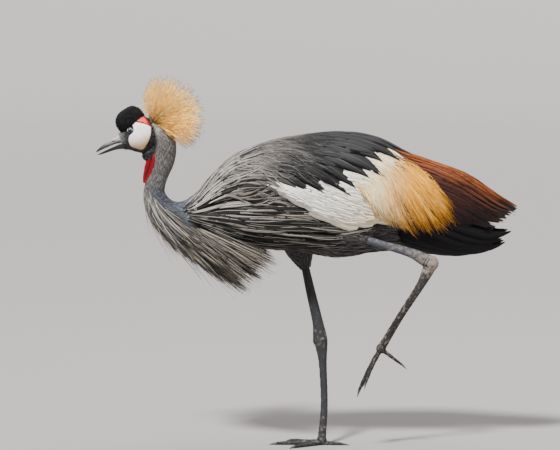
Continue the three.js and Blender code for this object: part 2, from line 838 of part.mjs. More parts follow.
// A loft through points that each carry a depth and a width.
function limb(table, count, sides = 12, swell = () => 0) {
  const line = new THREE.CatmullRomCurve3(table.map(([x, y, z]) => V(x, y, z)));
  const size = profile(table.map(([, , , a, b], i) => [i / (table.length - 1), a, b]));
  const rings = Array.from({ length: count + 1 }, (_, i) => {
    const t = i / count;
    const along = line.getTangent(t);
    const front = V(0, 1, 0).cross(along).normalize();
    const across = along.clone().cross(front).normalize();
    const [deep, wide] = size(t);
    return ellipse(line.getPoint(t), front, across, deep, wide, sides).map((p, j) => {
      const out = p.clone().sub(line.getPoint(t)).normalize();
      return p.addScaledVector(out, swell(i, j));
    });
  });
  return loft(rings);
}

// Raised plates down the front of the shank: each ring of a pair steps out, then back.
function shankSolid(leg) {
  const count = 2 * SCUTES;
  const facing = (j) => Math.max(0, Math.cos((Math.PI * (j - 4)) / 4));
  return limb(leg.shank, count, 8, (i, j) =>
    i > 1 && i < count - 1 && i % 2 ? SCUTE_STEP * facing(j) : 0,
  );
}

function ankleSolid([x, y, z, deep, wide]) {
  const geometry = new THREE.SphereGeometry(1, 8, 6);
  const matrix = new THREE.Matrix4().makeScale(deep, wide, deep).setPosition(x, y, z);
  return fromGeometry(geometry, matrix);
}

// The pad under the toes' joint, which is flat where it meets the floor.
function footPad(leg) {
  const [x, y, z] = leg.shank.at(-1);
  return (lift = 0) => {
    const radius = FOOT_PAD.radius + lift;
    const matrix = new THREE.Matrix4().makeScale(radius, radius, radius);
    const low = leg.side === "right" ? FOOT_PAD.height : z;
    const round = fromGeometry(new THREE.SphereGeometry(1, 8, 6), matrix.setPosition(x, y, low));
    return round.trimByPlane([0, 0, 1], 0);
  };
}

// The shin, ankle and shank made whole, then parted across the ankle by a thin cut.
function lowerLeg(leg, pad) {
  const whole = fuse([limb(leg.shin, 6, 8), ankleSolid(leg.ankle), shankSolid(leg), pad]);
  const ankle = V(...leg.ankle.slice(0, 3));
  const above = V(...leg.shin[2].slice(0, 3)).sub(ankle).normalize();
  const below = V(...leg.shank[2].slice(0, 3)).sub(ankle).normalize();
  const across = above.sub(below).normalize();
  const level = across.dot(ankle);
  const normal = across.toArray();
  const shin = whole.trimByPlane(normal, level + GAP / 2);
  const shank = whole.trimByPlane(across.negate().toArray(), -level + GAP / 2);
  return [largest(shin.subtract(bodyRoom)), largest(shank)];
}

// The feathered thigh, hollowed where the bare shin grows out of it.
function thighSolid(leg) {
  const shin = limb(leg.shin, 6, 8, () => GAP);
  return limb(leg.thigh, 5, 10).subtract(bodyRoom).subtract(shin);
}

// A toe along a path: pads under each joint, low plates on top. Flat soles stay at z = 0.
function toeSolid(path, toe, flat) {
  const sides = 6;
  const count = 4;
  const rings = Array.from({ length: count + 1 }, (_, i) => {
    const t = i / count;
    const taper = mix(1, 0.52, t) * (1 + 0.08 * Math.cos(count * Math.PI * t));
    const along = path.getTangent(t);
    const up = flat ? V(0, 0, 1) : along.clone().cross(V(0, 1, 0)).normalize();
    const across = up.clone().cross(along).normalize();
    const centre = path.getPoint(t);
    return Array.from({ length: sides }, (_, j) => {
      const turn = (2 * Math.PI * j) / sides;
      const p = centre
        .clone()
        .addScaledVector(across, (toe.width / 2) * taper * Math.cos(turn))
        .addScaledVector(up, (toe.height / 2) * taper * Math.sin(turn));
      if (flat && Math.sin(turn) < -0.5) p.z = 0;
      return p;
    });
  });
  return loft(rings);
}

function clawSolid(start, along, down, toe) {
  const across = along.clone().cross(down).normalize();
  const rings = Array.from({ length: 4 }, (_, i) => {
    const t = i / 3;
    const centre = start
      .clone()
      .addScaledVector(along, toe.claw * t)
      .addScaledVector(down, toe.claw * 0.12 * t * t);
    const radius = mix(0.24 * toe.width, 0.35, t ** 1.3);
    return ellipse(centre, across, down, radius * 0.85, radius, 5);
  });
  return loft(rings);
}

// Toes are pressed together near the foot: each is cut clear of its neighbours' directions.
function partToe(solid, way, ways, foot) {
  for (const other of ways) {
    if (other === way) continue;
    const normal = way.clone().sub(other).normalize();
    solid = solid.trimByPlane(normal.toArray(), normal.dot(foot) + GAP / 2);
  }
  return solid;
}

// The standing foot: four toes spread flat on the floor round the foot's pad.
function standingToes(name, foot, room) {
  const ways = TOES.map((toe) => {
    const turn = radians(toe.turn);
    return V(-Math.cos(turn), -Math.sin(turn), 0);
  });
  TOES.forEach((toe, i) => {
    const at = (distance, z) => foot.clone().addScaledVector(ways[i], distance).setZ(z);
    const lift = toe.height / 2;
    const reach = FOOT_PAD.radius - 1 + toe.length;
    const path = new THREE.CatmullRomCurve3([
      at(3, lift),
      at(reach * 0.55, lift * 0.8),
      at(reach, lift * 0.52),
    ]);
    const solid = partToe(toeSolid(path, toe, true), ways[i], ways, foot);
    add(`toe_${name}_${toe.name}`, solid.subtract(room), LEG);
    add(`claw_${name}_${toe.name}`, clawSolid(at(reach + GAP, 3), ways[i], V(0, 0, -1), toe), HORN);
  });
}

// The lifted foot: front toes drawn together and hanging, hind toe trailing.
function liftedToes(name, foot, room) {
  const reach = (toe) => (toe.name === "hind" ? 1 : -1);
  const ways = TOES.map((toe) => {
    const drop = radians(LIFTED[toe.name === "hind" ? "hindDrop" : "drop"]);
    const spread = toe.name === "hind" ? 0 : radians(-toe.turn * LIFTED.spread);
    const level = Math.cos(drop) * Math.cos(spread);
    return V(reach(toe) * level, Math.sin(spread), -Math.sin(drop)).normalize();
  });
  TOES.forEach((toe, i) => {
    const at = (distance) => foot.clone().addScaledVector(ways[i], distance);
    const end = at(FOOT_PAD.radius + toe.length).add(V(6, 0, -4));
    const path = new THREE.QuadraticBezierCurve3(at(3), at(toe.length * 0.6), end);
    const solid = partToe(toeSolid(path, toe, false), ways[i], ways, foot);
    add(`toe_${name}_${toe.name}`, solid.subtract(room), LEG);
    const along = path.getTangent(1);
    const down = along.clone().cross(V(0, -reach(toe), 0)).normalize();
    const start = end.clone().addScaledVector(along, GAP);
    add(`claw_${name}_${toe.name}`, clawSolid(start, along, down, toe), HORN);
  });
}

// Assembly

const crane = new THREE.Group();

function add(name, solid, color, roughness = 0.85) {
  const mesh = largest(solid).getMesh();
  const geometry = new THREE.BufferGeometry();
  geometry.setAttribute("position", new THREE.BufferAttribute(mesh.vertProperties, 3));
  geometry.setIndex(new THREE.BufferAttribute(mesh.triVerts, 1));
  geometry.computeVertexNormals();
  const material = new THREE.MeshStandardMaterial({ color, roughness, metalness: 0 });
  const made = new THREE.Mesh(geometry, material);
  made.name = name;
  crane.add(made);
}

function addHead() {
  const skullRoom = skullSolid(GAP);
  const lids = [-1, 1].map((side) => lidSolid(side));
  const nostrils = [-1, 1].map((side) =>
    ball(NOSTRIL.forward, side * NOSTRIL.across, NOSTRIL.up, NOSTRIL.radii, [6, 5]),
  );
  const sockets = [-1, 1].map((side) => eyeSolid(side, GAP));
  const whole = fuse([skullSolid(), throatSolid(), neckPart(0, NECK_CUTS[0]), ...lids]);
  const head = whole.subtract(wasm.Manifold.union([capSolid(GAP), ...sockets]));
  add("head", head, ASH);
  add("cap", capSolid(), BLACK, 0.95);
  add("bill_upper", billSolid(UPPER_BILL, true).subtract(wasm.Manifold.union(nostrils)), HORN, 0.5);
  add("bill_lower", billSolid(LOWER_BILL, false), HORN, 0.5);
  for (const [name, side] of [["left", 1], ["right", -1]]) {
    add(`eye_${name}`, eyeSolid(side), PALE_EYE, 0.1);
    add(`cheek_${name}`, skinPatch(side, cheekOutline()), WHITE);
    add(`brow_${name}`, skinPatch(side, browOutline()), RED);
  }
  const room = wasm.Manifold.union([skullRoom, throatSolid(GAP), neckSolid(GAP), capSolid(GAP)]);
  add("wattle", wattleSolid().subtract(room), RED, 0.6);
  add("crest", crestSolid().subtract(room), GOLD);
  const neckUpper = neckPart(...NECK_CUTS).subtract(skullRoom).subtract(throatSolid(GAP));
  add("neck_upper", neckUpper, ASH);
}

function addBody() {
  const ruff = HACKLE_TIERS.flatMap((row) => hackles(row));
  const lower = fuse([neckPart(NECK_CUTS[1], 1), collar(), ...ruff]);
  add("neck_lower", lower.subtract(bodyRoom), ASH);
  add("shoulder_left", shoulder(-1).subtract(bodyRoom), ASH);
  add("shoulder_right", shoulder(1).subtract(bodyRoom), ASH);
  add("torso", fuse([body, ...mantle()]), SLATE);
  add("tail", tailSolid(), BLACK);
}

function addWing(name, side) {
  const room = wasm.Manifold.union([bodyRoom, ridge(0.4)]);
  const tracts = {
    slate: [slateTract, SLATE],
    white: [whiteTract, WHITE],
    gold: [goldTract, GOLD],
    chestnut: [chestnutTract, CHESTNUT],
    black: [blackTract, BLACK],
  };
  for (const [tract, [make, color]] of Object.entries(tracts)) {
    const half = make(side).subtract(room).trimByPlane([0, side, 0], GAP / 2);
    add(`wing_${name}_${tract}`, half, color);
  }
}

function addLeg(leg, pad, addToes) {
  const name = leg.side;
  const [shin, shank] = lowerLeg(leg, pad());
  add(`thigh_${name}`, thighSolid(leg), BLACK);
  add(`tibia_${name}`, shin, LEG);
  add(`tarsus_${name}`, shank, LEG);
  addToes(name, V(...leg.shank.at(-1).slice(0, 3)), pad(GAP).add(limb(leg.shank, 18, 8, () => GAP)));
}

addHead();
addBody();
addWing("left", -1);
addWing("right", 1);
addLeg(RIGHT_LEG, footPad(RIGHT_LEG), standingToes);
addLeg(LEFT_LEG, footPad(LEFT_LEG), liftedToes);

export default crane;
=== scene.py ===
# A grey crowned crane, life size, in mid-stride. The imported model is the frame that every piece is
# built on.
import math

import bpy
import numpy as np
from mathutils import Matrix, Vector


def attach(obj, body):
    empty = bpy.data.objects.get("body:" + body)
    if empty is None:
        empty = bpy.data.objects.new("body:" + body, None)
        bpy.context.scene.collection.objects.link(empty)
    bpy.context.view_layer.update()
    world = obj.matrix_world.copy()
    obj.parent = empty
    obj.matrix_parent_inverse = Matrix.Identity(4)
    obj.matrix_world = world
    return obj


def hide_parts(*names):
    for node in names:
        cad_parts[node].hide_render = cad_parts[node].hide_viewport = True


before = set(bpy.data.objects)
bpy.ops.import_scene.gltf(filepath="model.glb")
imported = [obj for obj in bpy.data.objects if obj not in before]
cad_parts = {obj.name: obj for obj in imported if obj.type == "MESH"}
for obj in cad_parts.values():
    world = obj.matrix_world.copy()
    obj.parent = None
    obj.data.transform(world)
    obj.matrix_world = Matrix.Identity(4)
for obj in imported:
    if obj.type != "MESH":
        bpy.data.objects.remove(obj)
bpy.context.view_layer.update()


# The camera
# The photograph was taken with a long lens from almost the bird's own height, square to its left
# side. One pixel of its 560 by 450 covers 1.95 mm at the bird.
PIXELS_ACROSS, PIXEL = 560, 0.00195
lens, film, view_rise = 200.0, 36.0, math.radians(5.0)
distance = PIXELS_ACROSS * PIXEL * lens / film
aim = Vector((-0.082, 0.0, 0.433))
bpy.ops.object.camera_add()
camera = bpy.context.object
camera.name = "camera"
camera.data.lens = lens
camera.data.sensor_width = film
camera.location = aim + distance * Vector((0, -math.cos(view_rise), math.sin(view_rise)))
camera.rotation_euler = (math.pi / 2 - view_rise, 0, 0)
bpy.context.scene.camera = camera


# The studio
# A plain pale floor under a pale sky, with a soft sun high on the left, a weaker lamp on the right
# and a broad one from above, as daylight falls on the real bird.
def linear(code):
    """A hex colour as linear red, green and blue."""
    parts = [int(code[i:i + 2], 16) / 255 for i in (0, 2, 4)]
    return tuple(c / 12.92 if c <= 0.04045 else ((c + 0.055) / 1.055) ** 2.4 for c in parts)


def opaque(code):
    return (*linear(code), 1)


def new_object(name, verts, faces):
    mesh = bpy.data.meshes.new(name)
    mesh.from_pydata([tuple(v) for v in verts], [], faces)
    mesh.update()
    mesh.shade_smooth()
    piece = bpy.data.objects.new(name, mesh)
    bpy.context.collection.objects.link(piece)
    return piece


def new_finish(name):
    """A material that is made of nodes, and its tree of nodes."""
    finish = bpy.data.materials.new(name)
    finish.use_nodes = True
    return finish, finish.node_tree


def plug(tree, node, inputs):
    """Sets a node's inputs, or links them to what other nodes give."""
    for key, value in inputs.items():
        if isinstance(value, bpy.types.NodeSocket):
            tree.links.new(value, node.inputs[key])
        else:
            node.inputs[key].default_value = value


FLOOR, CURVE, WALL = 11.0, 5.0, 16.0  # metres
SPOKES = 96
edge = [(FLOOR + CURVE * math.sin(t), CURVE * (1 - math.cos(t)))
        for t in np.linspace(0, math.pi / 2, 24)]
edge.append((FLOOR + CURVE, WALL))
around = np.linspace(0, 2 * math.pi, SPOKES, endpoint=False)
verts = [(0, 0, 0)] + [(r * math.cos(t), r * math.sin(t), z) for r, z in edge for t in around]
faces = [(0, 1 + j, 1 + (j + 1) % SPOKES) for j in range(SPOKES)]
for i in range(len(edge) - 1):
    inner, outer = 1 + SPOKES * i, 1 + SPOKES * (i + 1)
    for j in range(SPOKES):
        k = (j + 1) % SPOKES
        faces.append((inner + j, outer + j, outer + k, inner + k))
backdrop = new_object("backdrop", verts, faces)
paint, tree = new_finish("pale_floor")
plug(tree, tree.nodes["Principled BSDF"], {"Base Color": opaque("979391"), "Roughness": 0.9})
backdrop.data.materials.append(paint)

sky = bpy.data.worlds.new("studio")
bpy.context.scene.world = sky
sky.use_nodes = True
plug(sky.node_tree, sky.node_tree.nodes["Background"],
     {"Color": opaque("dcdde0"), "Strength": 1.05})
LAMPS = [
    # name, kind, place it shines from, strength, spread
    ("sun", "SUN", (-1.3, -2.4, 3.9), 8.0, 0.16),
    ("fill", "AREA", (2.4, -2.2, 1.2), 40, 2.2),
    ("top", "AREA", (0.2, 0.6, 3.2), 40, 1.6),
]
for name, kind, place, power, wide in LAMPS:
    bpy.ops.object.light_add(type=kind, location=place)
    lamp = bpy.context.object
    lamp.name = name
    lamp.data.energy = power
    if kind == "SUN":
        lamp.data.angle = wide
    else:
        lamp.data.size = wide
    lamp.rotation_euler = (aim - Vector(place)).to_track_quat("-Z", "Y").to_euler()


# The skin
# One skin from the face to the rump, as under a real bird's plumage: the body, the curved neck and
# the skull are blown up along their lines, fused, and drawn in again by the depth of the coat.
BODY = np.array([
    # along, top, bottom, half width, in mm
    (-284, 454, 430, 1), (-269, 479, 411, 38), (-237, 501, 403, 56), (-189, 544, 397, 72),
    (-120, 575, 389, 84), (-42, 590, 382, 89), (35, 596, 371, 86), (103, 589, 382, 78),
    (161, 565, 386, 66), (220, 544, 378, 54), (278, 519, 373, 42), (331, 488, 382, 30),
    (378, 463, 415, 14),
]) / 1000
NECK = np.array([
    # along, up, radius seen from the side, in mm
    (-334, 622, 15), (-319, 612, 19), (-309, 596, 22.5), (-307.5, 577, 22.5), (-311, 556, 21.5),
    (-318, 534, 18.5), (-325, 512, 18.5), (-327, 493, 20.5), (-320, 472, 25), (-305, 453, 32),
    (-281, 440, 41), (-246, 436, 50),
]) / 1000
SKULL = np.array([
    # forward, top, bottom, half width, in mm
    (-31, 6, -14, 5), (-25, 21, -27, 14), (-12, 31, -34, 19), (0, 33, -36, 20.5),
    (12, 30, -35, 20), (24, 25, -28, 16.5), (34, 19, -21, 12), (42, 14.8, -17, 9.4),
]) / 1000
head_place = np.array([-0.351, 0, 0.612])
head_droop = math.radians(20)
forward = np.array([-math.cos(head_droop), 0, -math.sin(head_droop)])
upward = np.array([forward[2], 0, -forward[0]])
near = np.array([0.0, -1.0, 0.0])
NECK_WIDTH = 0.82  # as a share of its depth
BODY_WIDE, BODY_HIGH, HEAD_OVAL = 0.92, 0.95, 0.92  # powers that fill out an oval's corners


def as_arrays(*values):
    """Numbers and arrays of them, all brought to one shape."""
    return np.broadcast_arrays(*(np.asarray(v, float) for v in values))


def in_head(ahead, across, up):
    """A point of the head's own frame: along the bill, towards the camera, and up."""
    parts = zip(as_arrays(ahead, across, up), (forward, near, upward))
    return head_place + sum(v[..., None] * way for v, way in parts)


def through(table, at):
    """A smooth curve through a table whose first column is the distance along it."""
    xs, rows = table[:, 0], table[:, 1:]
    slopes = np.gradient(rows, xs, axis=0)
    i = np.clip(np.searchsorted(xs, at) - 1, 0, len(xs) - 2)
    h = (xs[i + 1] - xs[i])[..., None]
    t = (np.clip(at, xs[0], xs[-1]) - xs[i])[..., None] / h
    start = (2 * t**3 - 3 * t**2 + 1) * rows[i] + (t**3 - 2 * t**2 + t) * h * slopes[i]
    return start + (3 * t**2 - 2 * t**3) * rows[i + 1] + (t**3 - t**2) * h * slopes[i + 1]


def rounded(v, power):
    return np.sign(v) * np.abs(v) ** power


def unit(v):
    return v / np.maximum(np.linalg.norm(v, axis=-1, keepdims=True), 1e-12)


def on_body(x, angle, lift=0.0):
    """A point of the body: distance along, angle from the back's ridge, lift off the surface."""
    def bare(x, angle):
        top, bottom, half = np.moveaxis(through(BODY, x), -1, 0)
        y = half * rounded(np.sin(angle), BODY_WIDE)
        z = (top + bottom) / 2 + (top - bottom) / 2 * rounded(np.cos(angle), BODY_HIGH)
        return np.stack([x + 0 * y, y, z], -1)
    x, angle, lift = as_arrays(x, angle, lift)
    out = np.cross(bare(x + 0.002, angle) - bare(x - 0.002, angle),
                   bare(x, angle + 0.05) - bare(x, angle - 0.05))
    return bare(x, angle) + unit(out) * lift[..., None]


neck_table = np.column_stack([np.linspace(0, 1, len(NECK)), NECK])


def on_neck(share, angle, lift=0.0):
    """A point of the neck: share of its length, angle from its back, lift off the surface."""
    share, angle, lift = as_arrays(share, angle, lift)
    x, z, radius = np.moveaxis(through(neck_table, share), -1, 0)
    ahead = through(neck_table, share + 0.004) - through(neck_table, share - 0.004)
    ahead = unit(np.stack([ahead[..., 0], 0 * x, ahead[..., 1]], -1))
    back = np.cross(ahead, np.array([0.0, 1.0, 0.0]))
    centre = np.stack([x, 0 * x, z], -1)
    across = (radius * NECK_WIDTH + lift) * np.sin(angle)
    return (centre + back * ((radius + lift) * np.cos(angle))[..., None]
            + np.array([0, 1.0, 0]) * across[..., None])


def on_head(ahead, angle, lift=0.0):
    """A point of the skull: distance forward, angle from the crown, lift off the surface."""
    ahead, angle, lift = as_arrays(ahead, angle, lift)
    top, bottom, half = np.moveaxis(through(SKULL, ahead), -1, 0)
    up = (top + bottom) / 2 + ((top - bottom) / 2 + lift) * rounded(np.cos(angle), HEAD_OVAL)
    return in_head(ahead, -(half + lift) * rounded(np.sin(angle), HEAD_OVAL), up)


def pick(*pieces):
    """Selects these pieces alone, for the operators."""
    bpy.ops.object.select_all(action="DESELECT")
    for piece in pieces:
        piece.select_set(True)
    bpy.context.view_layer.objects.active = pieces[0]


def tube(name, rings):
    """A closed skin over rings of points, each running round the same way."""
    count, around = rings.shape[:2]
    i, j = np.meshgrid(np.arange(count - 1), np.arange(around), indexing="ij")
    k = (j + 1) % around
    i, over = i * around, (i + 1) * around
    faces = np.stack([i + j, i + k, over + k, over + j], -1).reshape(-1, 4).tolist()
    faces += [list(range(around))[::-1], list(range((count - 1) * around, count * around))]
    piece = new_object(name, rings.reshape(-1, 3), faces)
    pick(piece)
    bpy.ops.object.mode_set(mode="EDIT")
    bpy.ops.mesh.select_all(action="SELECT")
    bpy.ops.mesh.normals_make_consistent(inside=False)
    bpy.ops.object.mode_set(mode="OBJECT")
    return piece


def ball(place, size):
    """A ball or an egg, to be melted into a skin."""
    bpy.ops.object.select_all(action="DESELECT")
    bpy.ops.mesh.primitive_uv_sphere_add(segments=32, ring_count=20, location=place, scale=size)
    bpy.ops.object.transform_apply(location=True, rotation=True, scale=True)
    return bpy.context.object


def fuse(pieces, grain, ease, times):
    """Melts pieces into one smooth skin whose faces are as wide as the grain."""
    pick(*pieces)
    bpy.ops.object.join()
    whole = bpy.context.object
    whole.data.remesh_voxel_size = grain
    bpy.ops.object.voxel_remesh()
    smooth = whole.modifiers.new("smooth", "SMOOTH")
    smooth.factor, smooth.iterations = ease, times
    bpy.ops.object.modifier_apply(modifier="smooth")
    whole.data.shade_smooth()
    return whole


turns = np.linspace(0, 2 * np.pi, 48, endpoint=False)[None, :]
trunk = tube("skin", on_body(np.linspace(-0.279, 0.235, 60)[:, None], turns, -0.0015))
gullet = tube("gullet", on_neck(np.linspace(0.0, 1.0, 70)[:, None], turns, -0.0008))
skull = tube("skull", on_head(np.linspace(-0.031, 0.042, 40)[:, None], turns, -0.0010))
throat = ball(in_head(-0.003, 0, -0.043), (0.017, 0.0125, 0.017))
skin = fuse((trunk, gullet, skull, throat), 0.0026, 0.6, 6)


# The short feathers of the neck
# Thousands of small soft grey feathers lie down the neck like roof tiles. Each is a thin closed
# blade whose colour is that of the skin under it: black round the face, pale down the front.
rng = np.random.default_rng(7)


def step(v, low, high):
    """Rises smoothly from 0 at low to 1 at high."""
    t = np.clip((v - low) / (high - low), 0, 1)
    return t * t * (3 - 2 * t)


def blend(a, b, share):
    return np.asarray(a) + (np.asarray(b) - np.asarray(a)) * np.asarray(share)[..., None]


GREY, PALE_GREY, BLUE_GREY = linear("6a6764"), linear("a19b91"), linear("454e5c")
SOOT = linear("060506")


def head_terms(point):
    """How far ahead and how far up a point lies in the head's own frame."""
    local = point - head_place
    return local @ forward, local @ upward


def neck_marking(point):
    """The colour of the head and neck at each point."""
    ahead, up = head_terms(point)
    height = point[..., 2]
    edge = np.interp(up, [-0.058, -0.050, -0.040, -0.028, -0.015, 0.0, 0.012],
                     [0.012, -0.003, -0.0145, -0.022, -0.0257, -0.0272, -0.0252])
    black = step(ahead - edge, -0.004, 0.003) * step(height, 0.545, 0.565)
    nape = step(-ahead, 0.018, 0.026) * step(up, -0.035, 0.004)
    low = step(-height, -0.520, -0.488)
    line = np.interp(height, [0.42, 0.445, 0.47, 0.50, 0.52],
                     [-0.236, -0.293, -0.323, -0.341, -0.350])
    front = low * step(line - point[..., 0], -0.006, 0.012)
    colour = blend(GREY, PALE_GREY, 0.85 * nape)
    colour = blend(colour, BLUE_GREY, 0.8 * low * (1 - front))
    colour = blend(colour, linear("857f76"), 0.85 * front)
    return blend(colour, SOOT, black)


def spread(u_range, v_range, rows, columns):
    """Staggered places over a stretch of skin, each a little off its row."""
    jitter = 0.45  # of the distance between two
    i, j = np.meshgrid(np.arange(rows), np.arange(columns), indexing="ij")
    u = (i + 0.5 + rng.uniform(-jitter, jitter, i.shape)) / rows
    v = (j + 0.25 + 0.5 * (i % 2) + rng.uniform(-jitter, jitter, i.shape)) / columns
    u = u_range[0] + (u_range[1] - u_range[0]) * u.ravel()
    return u, v_range[0] + (v_range[1] - v_range[0]) * v.ravel()


POINTED = (0.35, 0.8, 1.0, 0.85, 0.55, 0.04)


def outline(shape, count):
    """The width of a feather at evenly spaced places, from its root to its tip."""
    return np.interp(np.linspace(0, 1, count), np.linspace(0, 1, len(shape)), shape)


def blade_rings(centre, side, up, half, arch, thick, columns=3):
    """Rings of points round each blade: across its upper face, then under it."""
    across = np.linspace(-1, 1, columns)
    wide = half[:, :, None]
    rise = arch * wide * np.cos(across * math.pi / 2) ** 1.5
    top = (centre[:, :, None] + side[:, :, None] * (wide * across)[..., None]
           + up[:, :, None] * rise[..., None])
    under = centre + up * (arch * half * 0.5 - thick)[..., None]
    return np.concatenate([top, under[:, :, None]], 2)


def laid_blades(surface, root, tip, lift, width, steps, shape, arch=0.25, thick=0.0004,
                columns=3, cant=0.0, sag=0.0, nudge=(0.001, 0.02)):
    """Blades that lie along a surface from root to tip, each given in the surface's own terms."""
    t = np.linspace(0, 1, steps)
    root, tip = np.asarray(root), np.asarray(tip)
    width = np.broadcast_to(np.asarray(width, float), root.shape[:1])
    sag = np.broadcast_to(np.asarray(sag, float), root.shape[:1])

    def path(t):
        place = root[:, None] + (tip - root)[:, None] * t[None, :, None]
        bow = np.sin(np.pi * t)[None] * sag[:, None]
        return place[..., 0], place[..., 1] + bow
    u, v = path(t)
    high = lift(u, v, t[None] + 0 * u)
    centre = surface(u, v, high)
    out = unit(surface(u, v, high + 1e-4) - centre)
    ahead = unit(surface(*path(t + 0.01), high) - surface(*path(t - 0.01), high))
    side = unit(np.cross(ahead, out))
    du = (surface(u + nudge[0], v, high) - centre) / nudge[0]
    dv = (surface(u, v + nudge[1], high) - centre) / nudge[1]
    half = width[:, None] / 2 * outline(shape, steps)
    across = np.linspace(-1, 1, columns)
    off = half[..., None] * across
    u2 = u[..., None] + off * ((side * du).sum(-1) / np.maximum((du * du).sum(-1), 1e-6))[..., None]
    v2 = v[..., None] + off * ((side * dv).sum(-1) / np.maximum((dv * dv).sum(-1), 1e-6))[..., None]
    rise = half[..., None] * (arch * np.cos(across * math.pi / 2) ** 1.5 + cant * across)
    top = surface(u2, v2, high[..., None] + rise)
    under = surface(u, v, high + arch * half * 0.5 - thick)
    return np.concatenate([top, under[:, :, None]], 2)


PATCH = 0.003  # how much of the colour map each feather takes up


def coat(name, rings, colour, place, finish, slot, *replaced):
    """Joins blades into one piece, with their colours and the two maps that the finish reads."""
    count, steps, points = rings.shape[:3]
    mesh = bpy.data.meshes.new(name)
    n, t, m = np.meshgrid(np.arange(count), np.arange(steps - 1), np.arange(points), indexing="ij")
    at = lambda t, m: (n * steps + t) * points + m % points
    quads = np.stack([at(t, m), at(t, m + 1), at(t + 1, m + 1), at(t + 1, m)], -1).reshape(-1, 4)
    n, m = np.meshgrid(np.arange(count), np.arange(points), indexing="ij")
    ends = np.concatenate([at(0, m[:, ::-1]), at(steps - 1, m)])
    loops = np.concatenate([quads.ravel(), ends.ravel()])
    sizes = np.concatenate([np.full(len(quads), 4), np.full(len(ends), points)])
    mesh.vertices.add(rings[..., 0].size)
    mesh.vertices.foreach_set("co", rings.reshape(-1).astype(np.float32))
    mesh.loops.add(len(loops))
    mesh.loops.foreach_set("vertex_index", loops.astype(np.int32))
    mesh.polygons.add(len(sizes))
    mesh.polygons.foreach_set("loop_start", (np.cumsum(sizes) - sizes).astype(np.int32))
    mesh.polygons.foreach_set("loop_total", sizes.astype(np.int32))
    mesh.update(calc_edges=True)
    tone = np.ones(rings.shape[:3] + (4,), np.float32)
    tone[..., :3] = colour if np.ndim(colour) == 4 else np.asarray(colour)[:, :, None]
    tone[..., 3] = rng.uniform(0, 1, count)[:, None, None]
    layer = mesh.color_attributes.new("tone", "FLOAT_COLOR", "POINT")
    layer.data.foreach_set("color", tone.ravel())
    uv = np.empty(rings.shape[:3] + (2,))
    uv[..., 0] = np.append(np.linspace(0, 1, points - 1), 0.5)
    uv[..., 1] = np.linspace(0, 1, steps)[None, :, None]
    patch = np.asarray(place)[:, None, None] + (uv - 0.5) * PATCH
    for title, flat in (("vane", uv), ("OFBake", patch)):
        layer = mesh.uv_layers.new(name=title)
        layer.data.foreach_set("uv", flat.reshape(-1, 2)[loops].astype(np.float32).ravel())
    piece = bpy.data.objects.new(name, mesh)
    bpy.context.collection.objects.link(piece)
    mesh.shade_smooth()
    mesh.materials.append(finish)
    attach(piece, "root")
    if replaced:
        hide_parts(*replaced)


def wire(tree, kind, inputs=(), **settings):
    """Adds a node, with its settings and inputs."""
    node = tree.nodes.new(kind)
    for key, value in settings.items():
        setattr(node, key, value)
    plug(tree, node, dict(inputs))
    return node


def maths(tree, operation, a, b=0.0, c=0.0):
    return wire(tree, "ShaderNodeMath", {0: a, 1: b, 2: c}, operation=operation).outputs[0]


def spanned(tree, value, low, high):
    """A value as a share of the way from low to high."""
    limits = {"Value": value, "From Min": low, "From Max": high}
    return wire(tree, "ShaderNodeMapRange", limits).outputs[0]


def noise(tree, where, scale, detail):
    return wire(tree, "ShaderNodeTexNoise",
                {"Vector": where, "Scale": scale, "Detail": detail}).outputs[0]


def scaled(tree, colour, by):
    """A colour made lighter or darker."""
    return wire(tree, "ShaderNodeVectorMath", {0: colour, "Scale": by},
                operation="SCALE").outputs[0]


def mixed(tree, share, one, other):
    """A mixture of two colours."""
    return wire(tree, "ShaderNodeMix", {"Factor": share, 6: one, 7: other},
                data_type="RGBA").outputs[2]


def tone_of(tree):
    """The colour that a piece carries in its points, and the number that goes with it."""
    tone = wire(tree, "ShaderNodeAttribute", attribute_name="tone").outputs
    return tone["Color"], tone["Alpha"]


def spot_on(tree):
    """The place on the piece, in metres."""
    return wire(tree, "ShaderNodeTexCoord").outputs["Object"]


def dress(tree, inputs, height=None, relief=0.0, depth=0.0):
    """Sets what the surface looks like, and its fine relief from a height."""
    if height:
        bump = {"Height": height, "Strength": relief, "Distance": depth}
        inputs["Normal"] = wire(tree, "ShaderNodeBump", bump).outputs[0]
    plug(tree, tree.nodes["Principled BSDF"], inputs)


